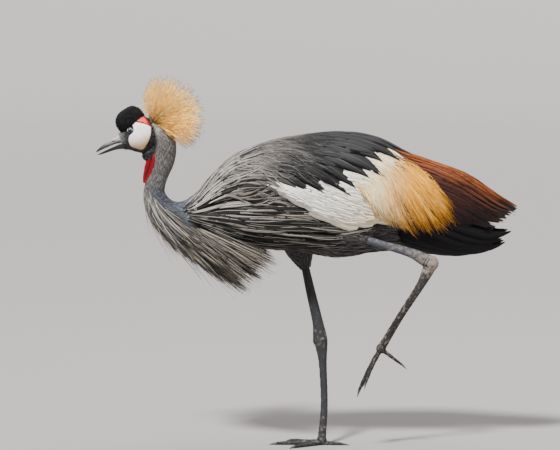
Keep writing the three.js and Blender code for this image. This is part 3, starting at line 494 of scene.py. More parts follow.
def feather_finish(name, barbs=60, slant=26, streak=(9, 1.6), contrast=0.35, shaft=None,
                   shaft_width=0.05, faint=-1.0, rough=0.6, sheen=0.15, gloss=0.35, relief=0.35):
    """Barbs run slanting from the shaft to the edges, and uneven streaks run along the blade."""
    finish, tree = new_finish(name)
    tone, own = tone_of(tree)
    vane = wire(tree, "ShaderNodeUVMap", uv_map="vane")
    split = wire(tree, "ShaderNodeSeparateXYZ", {0: vane.outputs[0]})
    u, v = split.outputs[0], split.outputs[1]
    off = maths(tree, "ABSOLUTE", maths(tree, "SUBTRACT", u, 0.5))
    turn = maths(tree, "MULTIPLY_ADD", off, -slant, maths(tree, "MULTIPLY", v, barbs))
    barb = maths(tree, "SINE", maths(tree, "MULTIPLY", turn, 2 * math.pi))
    place = wire(tree, "ShaderNodeCombineXYZ", {
        0: maths(tree, "MULTIPLY", u, streak[0]), 1: maths(tree, "MULTIPLY", v, streak[1]),
        2: maths(tree, "MULTIPLY", own, 60.0)})
    cloud = noise(tree, place.outputs[0], 1.0, 4.0)
    uneven = maths(tree, "MULTIPLY_ADD", cloud, 2 * contrast, 1 - contrast)
    hue = scaled(tree, tone, maths(tree, "MULTIPLY_ADD", barb, 0.10, uneven))
    line = maths(tree, "SUBTRACT", 1.0, spanned(tree, off, shaft_width * 0.3, shaft_width))
    line = maths(tree, "MULTIPLY", line, spanned(tree, own, faint, 1.0))
    if shaft:
        hue = mixed(tree, line, hue, (*shaft, 1))
    height = maths(tree, "MULTIPLY_ADD", barb, 0.3, maths(tree, "ADD", cloud, line))
    dress(tree, {"Base Color": hue, "Roughness": rough, "Sheen Weight": sheen,
                 "Specular IOR Level": gloss}, height, relief, 0.0006)
    return finish


def points_of(piece):
    """The places of a piece's points."""
    places = np.empty(len(piece.data.vertices) * 3)
    piece.data.vertices.foreach_get("co", places)
    return places.reshape(-1, 3)


def move_points(piece, places):
    piece.data.vertices.foreach_set("co", places.ravel())
    piece.data.update()
    piece.data.shade_smooth()


def tint(piece, hues):
    """Gives each point of a piece its colour, and a fourth number where there is one."""
    tones = np.ones((len(piece.data.vertices), 4))
    tones[:, :np.shape(hues)[-1]] = hues
    layer = piece.data.color_attributes.new("tone", "FLOAT_COLOR", "POINT")
    layer.data.foreach_set("color", tones.ravel())


places = points_of(skin)
trunk_share = step(places[:, 0], -0.27, -0.24)
tint(skin, blend(0.95 * neck_marking(places), linear("1c1b1d"), trunk_share))
down, tree = new_finish("down_on_skin")
fluff = noise(tree, spot_on(tree), 900.0, 3.0)
hue = scaled(tree, tone_of(tree)[0], maths(tree, "ADD", fluff, 0.5))
dress(tree, {"Base Color": hue, "Roughness": 0.9}, fluff, 0.6, 0.001)
skin.data.materials.append(down)
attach(skin, "root")
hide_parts("head", "neck_upper", "torso")

soft_feather = feather_finish("soft_grey_feather", barbs=14, slant=5, streak=(5, 1), contrast=0.2,
                              relief=0.3)
share, angle = spread((0.03, 0.93), (-math.pi, math.pi), 128, 50)
length = 0.0175 + 0.010 * step(share, 0.45, 0.85)
neck_long = np.linalg.norm(np.diff(NECK[:, :2], axis=0), axis=1).sum()
root = np.stack([share, angle], -1)
tip = root + np.stack([length / neck_long, rng.normal(0, 0.045, len(root))], -1)
rise = rng.uniform(0.0006, 0.0015, len(root))[:, None]
rings = laid_blades(on_neck, root, tip, lambda u, v, t: -0.0001 + rise * t,
                    0.0019 + 0.002 * share, steps=3, shape=POINTED, nudge=(0.01, 0.02))
colour = neck_marking(rings[:, :, 1]) * rng.uniform(0.90, 1.22, (len(root), 1, 1))
colour = colour * np.array([0.95, 1.02, 1.05])[None, :, None]
place = np.stack([share, angle / (2 * math.pi) + 0.5], -1)
coat("neck_feathers", rings, colour, place, soft_feather, "grey_feather")


# The hackles
# From the base of the neck long narrow plumes hang round the breast, in ranks that grow longer
# downwards. They hang in locks of dark vanes and pale quills, and some fray into single hairs.
HACKLES = np.array([
    # share of the neck, front tip along and up, side tip along, across and up, in mm
    (0.50, -334, 462, -318, 24, 456), (0.60, -322, 432, -290, 34, 440),
    (0.68, -298, 400, -240, 58, 415), (0.77, -262, 368, -188, 76, 385),
    (0.86, -208, 334, -130, 86, 360), (0.95, -150, 302, -88, 90, 372),
])


def hanging(share, turn, spoil, steps):
    """The line of each hackle: out of the neck, over the rank below, down to its tip."""
    t = np.linspace(0, 1, steps)[None, :, None]
    reach = np.abs(turn) / 100
    front_x, front_z, side_x, side_y, side_z = np.moveaxis(through(HACKLES, share), -1, 0) / 1000
    tip = np.stack([front_x + (side_x - front_x) * reach**1.4,
                    np.sign(turn) * side_y * np.sin(reach * math.pi / 2),
                    front_z + (side_z - front_z) * reach**1.4], -1)
    tip += rng.normal(0, 1, tip.shape) * spoil
    bearing = math.pi - np.radians(turn)
    root = on_neck(share, bearing, -0.003)
    lower = on_neck(np.minimum(1, share + 0.12), bearing, 0.004)
    middle = lower + 0.3 * (tip - lower) + rng.normal(0, 0.003, tip.shape)
    line = (root[:, None] * (1 - t)**2 + middle[:, None] * 2 * t * (1 - t) + tip[:, None] * t * t)
    outward = np.stack(np.broadcast_arrays(-0.5 * (1 - t[..., 0]), np.sin(bearing)[:, None],
                                           -0.45), -1)
    ahead = unit(np.gradient(line, axis=1))
    side = unit(np.cross(ahead, unit(outward)))
    return line, side, np.cross(side, ahead)


plume = feather_finish("grey_plume", barbs=40, slant=10, streak=(4, 2), contrast=0.3,
                       shaft=linear("c4bdb1"), shaft_width=0.09, faint=0.55, sheen=0.05,
                       gloss=0.25, relief=0.5)
locks, each, steps = 212, 7, 9
count = locks * each
lock_share = 0.50 + 0.46 * rng.uniform(0, 1, locks) ** 0.8
lock_turn = rng.uniform(-112, 112, locks) * (0.55 + 0.45 * step(lock_share, 0.54, 0.76))
share = np.clip(np.repeat(lock_share, each) + rng.normal(0, 0.008, count), 0.49, 0.97)
turn = np.repeat(lock_turn, each) + rng.normal(0, 2.2, count)
line, side, up = hanging(share, turn, 0.0035, steps)
along = np.linspace(0, 1, steps)[None, :, None]
stray = np.repeat(rng.normal(0, 0.006, (locks, 1, 3)), each, 0)
line = line + stray * along**2 * step(share, 0.55, 0.75)[:, None, None]
rank_in_lock = np.tile(np.linspace(0, 1, each), locks)
pale = step(rank_in_lock + rng.normal(0, 0.12, count), 0.55, 0.9)
half = (0.0030 - 0.0014 * pale + 0.0006 * rng.uniform(0, 1, count))[:, None]
half = half * outline((0.5, 1, 1, 0.8, 0.5, 0.05), steps)
half = half * (0.6 + 0.4 * step(share, 0.5, 0.7))[:, None]
lift = (0.0005 + 0.0030 * rank_in_lock)[:, None, None] * (0.2 + 0.8 * along)
rings = blade_rings(line + up * lift, side, up, half, 0.35, 0.0004)
fresh = 1 - step(share, 0.60, 0.80)
dark = blend(linear("211d1a"), linear("4d4c4b"), fresh)
light = blend(linear("aba294"), linear("a9a69f"), fresh)
colour = blend(dark, light, pale)[:, None] * rng.uniform(0.8, 1.15, (count, 1, 1))
colour = colour * (1 - 0.35 * along**2) * (1 - 0.15 * along * np.array([0.0, 0.3, 0.8]))
place = np.stack([share, 0.5 + turn / 360], -1)
coat("hackles", rings, colour, place, plume, "hackle_feather", "neck_lower")

wisp = feather_finish("plume_hair", barbs=3, slant=0, streak=(1, 2), contrast=0.3, relief=0.1)
count = 500
share = 0.62 + 0.36 * rng.uniform(0, 1, count) ** 0.7
turn = rng.uniform(-108, 108, count)
line, side, up = hanging(share, turn, 0.012, steps)
half = 0.00055 * np.ones((count, 1)) * outline((1, 1, 1, 0.8, 0.5, 0.2), steps)
rings = blade_rings(line + up * 0.003, side, up, half, 0.6, 0.0003)
colour = blend(linear("3a332c"), linear("d8cebc"), rng.uniform(0, 1, count) ** 1.5)[:, None]
colour = colour * (1 - 0.5 * along)
place = np.stack([share, 0.5 + turn / 360], -1)
coat("hackle_hairs", rings, colour, place, wisp, "hackle_feather")


# The folded wing's bed
# Under its feathers each folded wing is a smooth pad that lies on the flank from the shoulder to
# the rump. It gives every tract of feathers its height above the body.
def degrees(v):
    return np.degrees(np.abs(v))


def bed(x, angle):
    """How far the wing's pad stands off the body."""
    high = np.interp(x, [-0.25, -0.18, -0.08, 0.0, 0.06, 0.10, 0.16, 0.24],
                     [0, 0.004, 0.0085, 0.0100, 0.0100, 0.0080, 0.0045, 0])
    return high * (1 - step(degrees(angle), 74, 122))


SIDES = ((-1, "left"), (1, "right"))
for side, name in SIDES:
    xs = np.linspace(-0.235, 0.225, 60)[:, None]
    angles = side * np.radians(np.linspace(0, 140, 60))[None, :]
    upper = on_body(xs, angles, bed(xs, angles) - 0.0006)
    lower = on_body(xs, angles, -0.006)[:, ::-1]
    pad = tube(f"wing_pad_{name}", np.concatenate([upper, lower], 1))
    tint(pad, linear("2a2a2c"))
    pad.data.materials.append(down)
    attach(pad, "root")


def over_bed(low, high):
    """Lift that leaves the bed at the root and rises above the next rank at the tip."""
    return lambda u, v, t: bed(u, v) + low + (high - low) * t**0.6


def fan(ends, share):
    """Places along a broken line of [along in mm, angle in degrees] points."""
    ends = np.array(ends, float) * (0.001, math.pi / 180)
    at = np.linspace(0, 1, len(ends))
    return np.stack([np.interp(share, at, ends[:, 0]), np.interp(share, at, ends[:, 1])], -1)


def on_flank(side, root, tip, lift, width, sag=0.0, cant=0.0, **shape):
    """Feathers laid on the left (-1) or right (1) flank, which sag by so many degrees."""
    return laid_blades(on_body, root * (1, side), tip * (1, side), lift, width,
                       sag=side * np.radians(sag), cant=-side * cant, **shape)


def on_map(root):
    """Where on the colour map a feather of the body is drawn."""
    return root * (1, 0.5 / math.pi) + (0.4, 0.5)


def rank(side, roots, tips, count, width, lift, loose=1.0, **shape):
    """One rank of feathers between a line of roots and a line of tips, on one flank."""
    share = (np.arange(count) + 0.5) / count
    own = lambda by: rng.normal(0, 1, (count, 2)) * (0.002 * by, 0.02 * by)
    root, tip = fan(roots, share) + own(0.5 * loose), fan(tips, share) + own(loose)
    own_lift = rng.uniform(-1, 1, (count, 1)) * 0.0005
    rings = on_flank(side, root, tip, lambda u, v, t: lift(u, v, t) + own_lift * t,
                     width * rng.uniform(0.93, 1.07, count), **shape)
    return rings, on_map(root)


def shades(rings, colours, spread=0.12, along=(1, 1)):
    """A colour for each feather, drawn between two, with a change from root to tip."""
    count, steps = rings.shape[:2]
    own = blend(*colours, rng.uniform(0, 1, count))[:, None]
    own = own * rng.uniform(1 - spread, 1 + spread, (count, 1, 1))
    return own * np.linspace(*along, steps)[None, :, None]


def gather(parts):
    """Joins several ranks of the same make into one."""
    rings, places, colours = zip(*parts)
    return np.concatenate(rings), np.concatenate(colours), np.concatenate(places)


# The black flight and tail feathers
# The wing tips and the tail are broad, stiff, glossy black feathers that lie over one another like
# a closed fan, under the chestnut ones. The tail's are fixed in the rump.
flight = feather_finish("black_flight", barbs=90, slant=30, streak=(7, 0.8), contrast=0.25,
                        shaft=linear("17171a"), shaft_width=0.03, rough=0.5, sheen=0.0, gloss=0.14)
BROAD = (0.55, 0.85, 1, 1, 0.97, 0.85, 0.35)
QUILL = (0.5, 0.8, 0.95, 1, 1, 0.97, 0.85, 0.5, 0.1)
JET, COAL = linear("030303"), linear("070608")
PRIMARIES = [
    # root, tip, width: from the lowest feather of the folded wing to the uppermost
    ((172, 148), (226, 160), 24), ((160, 142), (262, 157), 26), ((152, 136), (291, 151), 27),
    ((148, 128), (300, 138), 27), ((146, 120), (321, 146), 27), ((146, 112), (330, 130), 27),
    ((148, 102), (352, 140), 28), ((150, 92), (346, 122), 28), ((152, 84), (362, 112), 26),
]
for side, name in SIDES:
    parts = []
    for n, (root, tip, width) in enumerate(PRIMARIES):
        for aside, low in ((-3, 0.0004), (0, 0.0020)):
            roots = [(root[0], root[1] + aside)] * 2
            tips = [(tip[0] - 2 * abs(aside), tip[1] + aside)] * 2
            rings, place = rank(side, roots, tips, 1, width / 1000,
                                over_bed(low, low + 0.0006 + 0.0006 * n), loose=0.3, steps=18,
                                shape=QUILL, arch=0.10, thick=0.0008, columns=5, cant=0.16, sag=2)
            parts.append((rings, place, shades(rings, (JET, COAL), along=(0.8, 1.2))))
    rings, colour, place = gather(parts)
    coat(f"wing_{name}_flight", rings, colour, place, flight, "black_feather", f"wing_{name}_black")

tail_feathers, steps = 12, 12
aside = np.linspace(-1, 1, tail_feathers)
across = aside[:, None, None]
t = np.linspace(0, 1, steps)[None, :, None]
start = np.concatenate([0.212 + 0 * across, 0.016 * across, 0.449 + 0.010 * (1 - across**2)], 2)
end = np.concatenate([0.338 - 0.012 * across**2, 0.036 * across,
                      0.424 + 0.006 * (1 - across**2)], 2)
line = start + (end - start) * t + np.array([0, 0, 0.006]) * np.sin(math.pi * t)
ahead = unit(np.gradient(line, axis=1))
lean = np.concatenate([0 * across, 0.5 * across, np.ones_like(across)], 2)
side_way = unit(np.cross(ahead, unit(lean) + 0 * line))
half = 0.013 * outline(BROAD, steps) * np.ones((tail_feathers, 1))
rings = blade_rings(line, side_way, np.cross(side_way, ahead), half, 0.12, 0.0008, columns=5)
colour = shades(rings, (JET, COAL), along=(0.8, 1.1))
place = np.stack([0.5 + 0.02 * aside, 0.9 + 0 * aside], -1)
coat("tail_feathers", rings, colour, place, flight, "black_feather", "tail")


# The chestnut secondaries
# Over the black ones lie long drooping maroon feathers with loose barbs. They spring from under
# the white coverts, where the uppermost are streaked with orange, and end in a shaggy edge.
loose = feather_finish("chestnut_vane", barbs=46, slant=18, streak=(10, 2.2), contrast=0.5,
                       shaft=linear("2e130d"), shaft_width=0.04, rough=0.6, sheen=0.04, relief=0.7)
strand = feather_finish("loose_barb", barbs=3, slant=0, streak=(1, 3), contrast=0.35, sheen=0.04,
                        gloss=0.25, relief=0.2)
LONG = (0.5, 0.9, 1, 1, 0.95, 0.75, 0.15)
MAROON, OXBLOOD = linear("3f130b"), linear("1a0705")
REAR_END = 0.379
DROOP = [
    # tips from the ridge of the back down to the lower edge
    (376, 9), (374, 28), (372, 44), (362, 62), (350, 80), (330, 93), (300, 95), (268, 95),
]


def humped(low, high):
    """Lift that bulges over the back's end, as the long feathers spring up before they droop."""
    def lift(u, v, t):
        hump = np.exp(-((u - 0.275) / 0.060) ** 2) * (1 - step(degrees(v), 30, 90))
        return bed(u, v) + low + (high - low) * t**0.6 + 0.007 * hump
    return lift


def strewn(place, locks, many, by_lock, by_barb):
    """Places moved about: the barbs of a lock first move as one, and then each moves alone."""
    place = place + (rng.normal(0, 1, (many, 2)) * by_lock)[locks]
    return place + rng.normal(0, 1, (len(locks), 2)) * by_barb


SPRING = [(142, 7), (136, 24), (130, 42), (124, 60), (118, 76), (112, 92)]
for side, name in SIDES:
    parts = []
    for roots, tips, count, width, low in [
        ([(160, 14), (148, 60), (136, 98)], [(330, 60), (318, 84), (262, 104)], 10, 0.021, 0.0026),
        (SPRING, DROOP, 15, 0.021, 0.0034),
        ([(128, 9), (118, 40), (108, 66)], [(330, 16), (318, 50), (292, 76)], 11, 0.017, 0.0046),
    ]:
        rings, place = rank(side, roots, tips, count, width, humped(low, low + 0.0018), loose=1.2,
                            steps=14, shape=LONG, arch=0.16, thick=0.0006, columns=5, cant=0.08,
                            sag=-7)
        parts.append((rings, place, shades(rings, (OXBLOOD, MAROON), 0.2, along=(1.1, 0.8))))
    rings, colour, place = gather(parts)
    coat(f"wing_{name}_secondaries", rings, colour, place, loose, "chestnut_feather",
         f"wing_{name}_chestnut")

    many, count, steps = 150, 1100, 8
    locks = rng.integers(0, many, count)
    share = rng.uniform(0, 1, many)[locks] + rng.normal(0, 0.006, count)
    root = strewn(fan(SPRING, share), locks, many, (0.012, 0.05), (0.004, 0.02))
    full = fan(DROOP, share)
    reach = (rng.uniform(0.5, 1.0, many)[locks] + rng.normal(0, 0.04, count))[:, None]
    tip = strewn(root + (full - root) * reach, locks, many, (0.003, 0.04), (0.002, 0.015))
    tip[:, 0] = np.minimum(tip[:, 0], REAR_END)
    first = rng.uniform(0, 0.35, many)[locks, None] * reach
    root = root + (tip - root) * first
    height = rng.uniform(0, 1, count)
    own = (0.0045 + 0.0030 * height)[:, None]
    rings = on_flank(side, root, tip, humped(own, own + 0.0015),
                     rng.uniform(0.0016, 0.0036, count) * (1.3 - 0.5 * height), steps=steps,
                     shape=(0.4, 1, 1, 0.7, 0.1), arch=0.5, thick=0.0003,
                     sag=rng.normal(-6, 2.5, many)[locks] + rng.normal(0, 0.8, count))
    near_top = np.clip(1 - share * 1.6, 0, 1) * np.clip(1.5 - first[:, 0] * 3, 0, 1)
    # Painted shade and painted light: the lowest strands of the pile are near black, as if shaded by
    # those above, and the uppermost are lighter.
    base = blend(linear("0b0403"), MAROON, step(height, 0.15, 0.6))
    base = blend(base, linear("5c1c0e"), step(height + rng.normal(0, 0.12, count), 0.66, 0.97))
    base = base * (0.80 - 0.58 * step(share, 0.10, 0.62))[:, None]
    base = blend(base, linear("c06a20"), 0.75 * near_top * (rng.uniform(0, 1, many)[locks] > 0.45))
    colour = base[:, None] * np.linspace(1, 0.7, steps)[None, :, None]
    coat(f"wing_{name}_chestnut_barbs", rings, colour, on_map(root), strand, "chestnut_feather")


# The golden plumes
# From under the white coverts a curtain of straw-gold plumes falls over the chestnut and black
# feathers. Their barbs are so loose that each plume is a bunch of shining hairs.
straw = feather_finish("golden_hair", barbs=2, slant=0, streak=(1, 2), contrast=0.25, rough=0.5,
                       sheen=0.1, gloss=0.45, relief=0.15)
CURTAIN = [
    # from the front edge of the curtain to its rear edge
    (92, 98), (120, 110), (146, 116), (172, 118), (198, 115), (222, 108), (238, 96), (246, 86),
    (240, 70),
]
LEAVE = [
    # where its plumes come out from under the white, in the same order
    (56, 84), (70, 76), (82, 69), (92, 62), (102, 55), (111, 49), (119, 43), (127, 38), (136, 34),
]
IVORY, GOLD, AMBER = linear("f4e3b4"), linear("c07600"), linear("5c3400")
for side, name in SIDES:
    many, count, steps = 170, 1500, 8
    locks = rng.integers(0, many, count)
    share = rng.uniform(0, 1, many)[locks] ** 0.85
    share = np.clip(share + rng.normal(0, 0.006, count), 0, 1)
    root = strewn(fan(LEAVE, share), locks, many, (0.010, 0.06), (0.004, 0.03))
    full = fan(CURTAIN, np.clip(share + rng.normal(0, 0.02, many)[locks], 0, 1))
    reach = 1.03 - 0.5 * rng.uniform(0, 1, many)[locks] ** 2.5 + rng.normal(0, 0.04, count)
    tip = strewn(root + (full - root) * reach[:, None], locks, many, (0.003, 0.03), (0.0015, 0.012))
    height = rng.uniform(0, 1, count)
    own = (0.0088 + 0.0034 * height)[:, None]
    rings = on_flank(side, root, tip, lambda u, v, t: bed(u, v) + own * (0.45 + 0.55 * t**0.7),
                     rng.uniform(0.0015, 0.0031, count) * (1.3 - 0.5 * height), steps=steps,
                     shape=(0.7, 1, 0.9, 0.6, 0.08), arch=0.5, thick=0.0003,
                     sag=rng.normal(-9, 2.5, many)[locks] + rng.normal(0, 1, count))
    along = np.linspace(0, 1, steps)[None, :]
    hue = np.clip((root[:, :1] + (tip - root)[:, :1] * along - 0.095) / 0.07, 0, 1)
    early = rng.uniform(0, 1, many)[locks, None] > 0.8
    hue = np.clip(hue + 0.5 * early * step(along, 0.1, 0.4), 0, 1)
    # Painted shade and painted light: strands that lie low in the curtain are darkened to amber, and
    # the ivory ones dulled, as if shaded by those above; the uppermost are brightened.
    dark = step(-height, -0.45, -0.05)
    light = step(height + rng.normal(0, 0.1, count), 0.6, 0.95)
    rich = blend(blend(GOLD + 0 * root[:, :1], AMBER, dark), linear("ecac20"), light)
    faint = blend(IVORY + 0 * root[:, :1], linear("a07c38"), 0.6 * dark)
    colour = blend(faint[:, None] + 0 * hue[..., None], rich[:, None] + 0 * hue[..., None], hue)
    colour = colour * (0.92 + 0.20 * along[..., None] ** 2)
    coat(f"wing_{name}_gold_plumes", rings, colour, on_map(root), straw, "gold_feather",
         f"wing_{name}_gold")


# The white coverts
# Broad, silky white feathers cover the middle of the folded wing. They turn cream towards their
# lower edge and the tail, and their soft edges barely show.
silk = feather_finish("white_silk", barbs=60, slant=22, streak=(12, 1.2), contrast=0.07,
                      rough=0.7, sheen=0.2, relief=0.18)
SNOW, BUTTER = linear("fbf8f1"), linear("e6cf94")
WHITE_TOP = [
    # the upper edge of the white, from the shoulder to the rear
    (-128, 66), (-104, 69), (-80, 73), (-60, 77), (0, 74), (50, 58), (96, 42), (120, 22),
]
WHITE_LOW = [
    # its lower edge
    (-122, 70), (-100, 75), (-80, 80), (-60, 86), (-23, 97), (20, 107), (78, 111), (140, 104),
]
for side, name in SIDES:
    parts = []
    for roots, tips, count, width, low in [
        ([(50, 42), (70, 22)], [(128, 44), (152, 24)], 6, 0.026, 0.0046),
        ([(70, 100), (80, 70), (92, 44)], [(120, 112), (150, 92), (150, 56)], 12, 0.034, 0.0042),
        ([(40, 104), (50, 80), (66, 40)], [(96, 114), (130, 96), (144, 62)], 11, 0.036, 0.0048),
        ([(8, 104), (16, 80), (40, 34)], [(66, 114), (104, 98), (126, 58)], 12, 0.036, 0.0054),
        ([(-30, 98), (-20, 78), (10, 50)], [(34, 110), (70, 100), (100, 66)], 11, 0.034, 0.0060),
        ([(-66, 84), (-56, 76), (-30, 56)], [(0, 101), (30, 98), (60, 76)], 10, 0.030, 0.0064),
        ([(-104, 76), (-100, 72), (-80, 62)], [(-44, 90), (-24, 90), (10, 82)], 8, 0.022, 0.0066),
        ([(-146, 68), (-140, 64)], [(-84, 78), (-74, 76)], 4, 0.014, 0.0066),
    ]:
        rings, place = rank(side, roots, tips, count, width, over_bed(low - 0.0006, low + 0.0008),
                            steps=12, shape=BROAD, arch=0.05, thick=0.0004, columns=5, cant=0.015,
                            sag=-3)
        cream = step(degrees(place[:, 1] * 2 * math.pi - math.pi), 60, 105) * 0.8
        to_rear = step(rings[..., 0], 0.06, 0.14)[..., None] * 0.6
        base = blend(SNOW, BUTTER, 0.5 * cream)[:, None, None]
        parts.append((rings, place, base + (np.asarray(BUTTER) - base) * to_rear))
    rings, colour, place = gather(parts)
    coat(f"wing_{name}_coverts", rings, colour, place, silk, "white_feather", f"wing_{name}_white")

    count = 1250
    share, depth = rng.uniform(0, 1, (2, count))
    upper, under = fan(WHITE_TOP, share), fan(WHITE_LOW, share)
    root = upper + (under - upper) * (1.12 * depth - 0.10)[:, None]
    slope = 0.10 + 0.14 * step(root[:, 0], 0.0, 0.10)
    reach = rng.uniform(0.030, 0.055, count) * np.interp(root[:, 0], (-0.15, 0.0), (0.6, 1))
    tip = root + np.stack([reach, slope * rng.uniform(0.7, 1.2, count)], -1)
    lowest = np.interp(tip[:, 0] * 1000, *np.transpose(WHITE_LOW)) * math.pi / 180
    tip[:, 1] = np.minimum(tip[:, 1], lowest + rng.uniform(-0.05, 0.02, count))
    height = rng.uniform(0, 1, count)
    own = (0.0070 + 0.0012 * height + 0.0012 * step(-root[:, 0], -0.05, 0.02))[:, None]
    rings = on_flank(side, root, tip, lambda u, v, t: bed(u, v) + own * (0.94 + 0.06 * t),
                     rng.uniform(0.0026, 0.0052, count), steps=6, shape=(0.3, 0.9, 1, 0.8, 0.1),
                     arch=0.2, thick=0.0003, sag=rng.normal(-1.5, 1, count))
    cream = step(tip[:, 0], 0.03, 0.17) * 0.8 + 0.35 * step(degrees(root[:, 1]), 92, 108)
    base = blend(SNOW + 0 * root[:, :1], BUTTER, np.clip(cream, 0, 1))
    base = blend(base, linear("c9bfa8"), 0.25 * height)
    coat(f"wing_{name}_white_barbs", rings, base[:, None, None] + 0 * rings, on_map(root), silk,
         "white_feather")


# The slate scapulars and mantle
# Over the shoulder and the back lie smooth slate feathers: small ones like scales in front, with
# loose grey barbs over them, then long pointed ones whose tips reach like fingers over the white.
slate = feather_finish("slate_vane", barbs=80, slant=30, streak=(6, 0.9), contrast=0.22,
                       shaft=linear("5c5955"), shaft_width=0.018, rough=0.55, sheen=0.03,
                       gloss=0.25, relief=0.4)
LANCE = (0.5, 0.9, 1, 1, 1, 0.9, 0.66, 0.34, 0.03)
FINGERS = [
    # root, tip, width: the long feathers whose tips show against the white
    ((-170, 48), (-92, 74), 24), ((-140, 54), (-50, 81), 26), ((-112, 54), (-12, 86), 30),
    ((-92, 52), (25, 88), 32), ((-70, 48), (52, 84), 34), ((-52, 42), (62, 78), 33),
    ((-36, 40), (86, 68), 34), ((-14, 36), (115, 66), 36), ((2, 30), (112, 48), 35),
    ((22, 24), (145, 38), 38), ((34, 17), (146, 24), 34), ((56, 11), (174, 13), 34),
    ((50, 5), (160, 5), 30),
]
for side, name in SIDES:
    parts = []
    root, tip, width = (np.array(v, float) for v in zip(*FINGERS))
    root, tip = root * (0.001, math.pi / 180), tip * (0.001, math.pi / 180)
    under_root = root + (-0.02, math.radians(-3))
    under_tip = tip + (-0.045, math.radians(-5))
    for first, last, low in ((under_root, under_tip, 0.0066), (root, tip, 0.0074)):
        last = last + rng.normal(0, 1, last.shape) * (0.001, 0.008)
        rings = on_flank(side, first, last, over_bed(low, low + 0.0012), width / 1000, steps=16,
                         shape=LANCE, arch=0.10, thick=0.0006, columns=5, cant=0.07, sag=-5)
        colour = shades(rings, (linear("0c0c0e"), linear("161618")), 0.08, along=(1.25, 0.75))
        parts.append((rings, on_map(first), colour))
    for x, count, width, length, low in [
        # station on the back, feathers in the rank, their width and length, and lift
        (16, 6, 0.034, 96, 0.0082), (-18, 7, 0.034, 92, 0.0084), (-52, 9, 0.028, 86, 0.0087),
        (-82, 13, 0.020, 74, 0.0090), (-108, 17, 0.014, 64, 0.0092), (-130, 20, 0.011, 56, 0.0092),
        (-150, 22, 0.009, 50, 0.0091), (-168, 24, 0.008, 46, 0.0088), (-186, 24, 0.008, 42, 0.0084),
    ]:
        wide = float(np.interp(x, [-178, -100, 20], [74, 64, 30]))
        tips = [(x + length, 4), (x + length * 0.9, wide + 16)]
        rings, place = rank(side, [(x, 3), (x, wide)], tips, count, width,
                            over_bed(low - 0.0012, low + 0.0006), steps=16, shape=LANCE, arch=0.12,
                            thick=0.0005, columns=5, cant=0.06, sag=-2)
        station = x + 28 * np.linspace(-1, 1, count)
        grey = blend(linear("67625d"), linear("101012"),
                     step(station + rng.normal(0, 14, count), -146, -66))
        grey = grey[:, None] * rng.uniform(0.6, 1.15, (count, 1, 1))
        parts.append((rings, place, grey * np.linspace(1.35, 0.7, 16)[None, :, None]))
    rings, colour, place = gather(parts)
    coat(f"wing_{name}_scapulars", rings, colour, place, slate, "slate_feather",
         f"wing_{name}_slate")

    count = 300
    root = np.stack([rng.uniform(-0.172, -0.012, count), np.radians(rng.uniform(6, 62, count))], -1)
    tip = root + np.stack([rng.uniform(0.028, 0.050, count), rng.uniform(0.08, 0.36, count)], -1)
    rings = on_flank(side, root, tip, over_bed(0.0096, 0.0112), rng.uniform(0.0009, 0.0018, count),
                     steps=6, shape=POINTED, arch=0.3, thick=0.0003, sag=rng.normal(2, 2, count))
    grey = blend(linear("938c85"), linear("242325"),
                 step(root[:, 0] + rng.normal(0, 0.018, count), -0.15, -0.07))
    coat(f"wing_{name}_mantle_barbs", rings, grey[:, None, None] + 0 * rings, on_map(root), plume,
         "slate_feather")


# The shoulder plumes
# From the foot of the neck narrow plumes fan out over the shoulders and sweep back along the
# flank, where they run under the wing. Pale quills lie between their dark vanes.
FAN_START, FAN_MIDDLE, MIDDLE_ANGLE = -0.252, 0.42, 66
CLOSED, OPEN = 50, 150  # degrees over the whole fan, where it starts and where it ends


def flow(x, share):
    """The angle at which one plume of the fan passes each station."""
    opened = 1 - np.exp(-(np.maximum(x, FAN_START) - FAN_START) / 0.045)
    width = CLOSED + (OPEN - CLOSED) * opened
    return np.radians(np.clip(MIDDLE_ANGLE + (share - FAN_MIDDLE) * width, 2, 176))


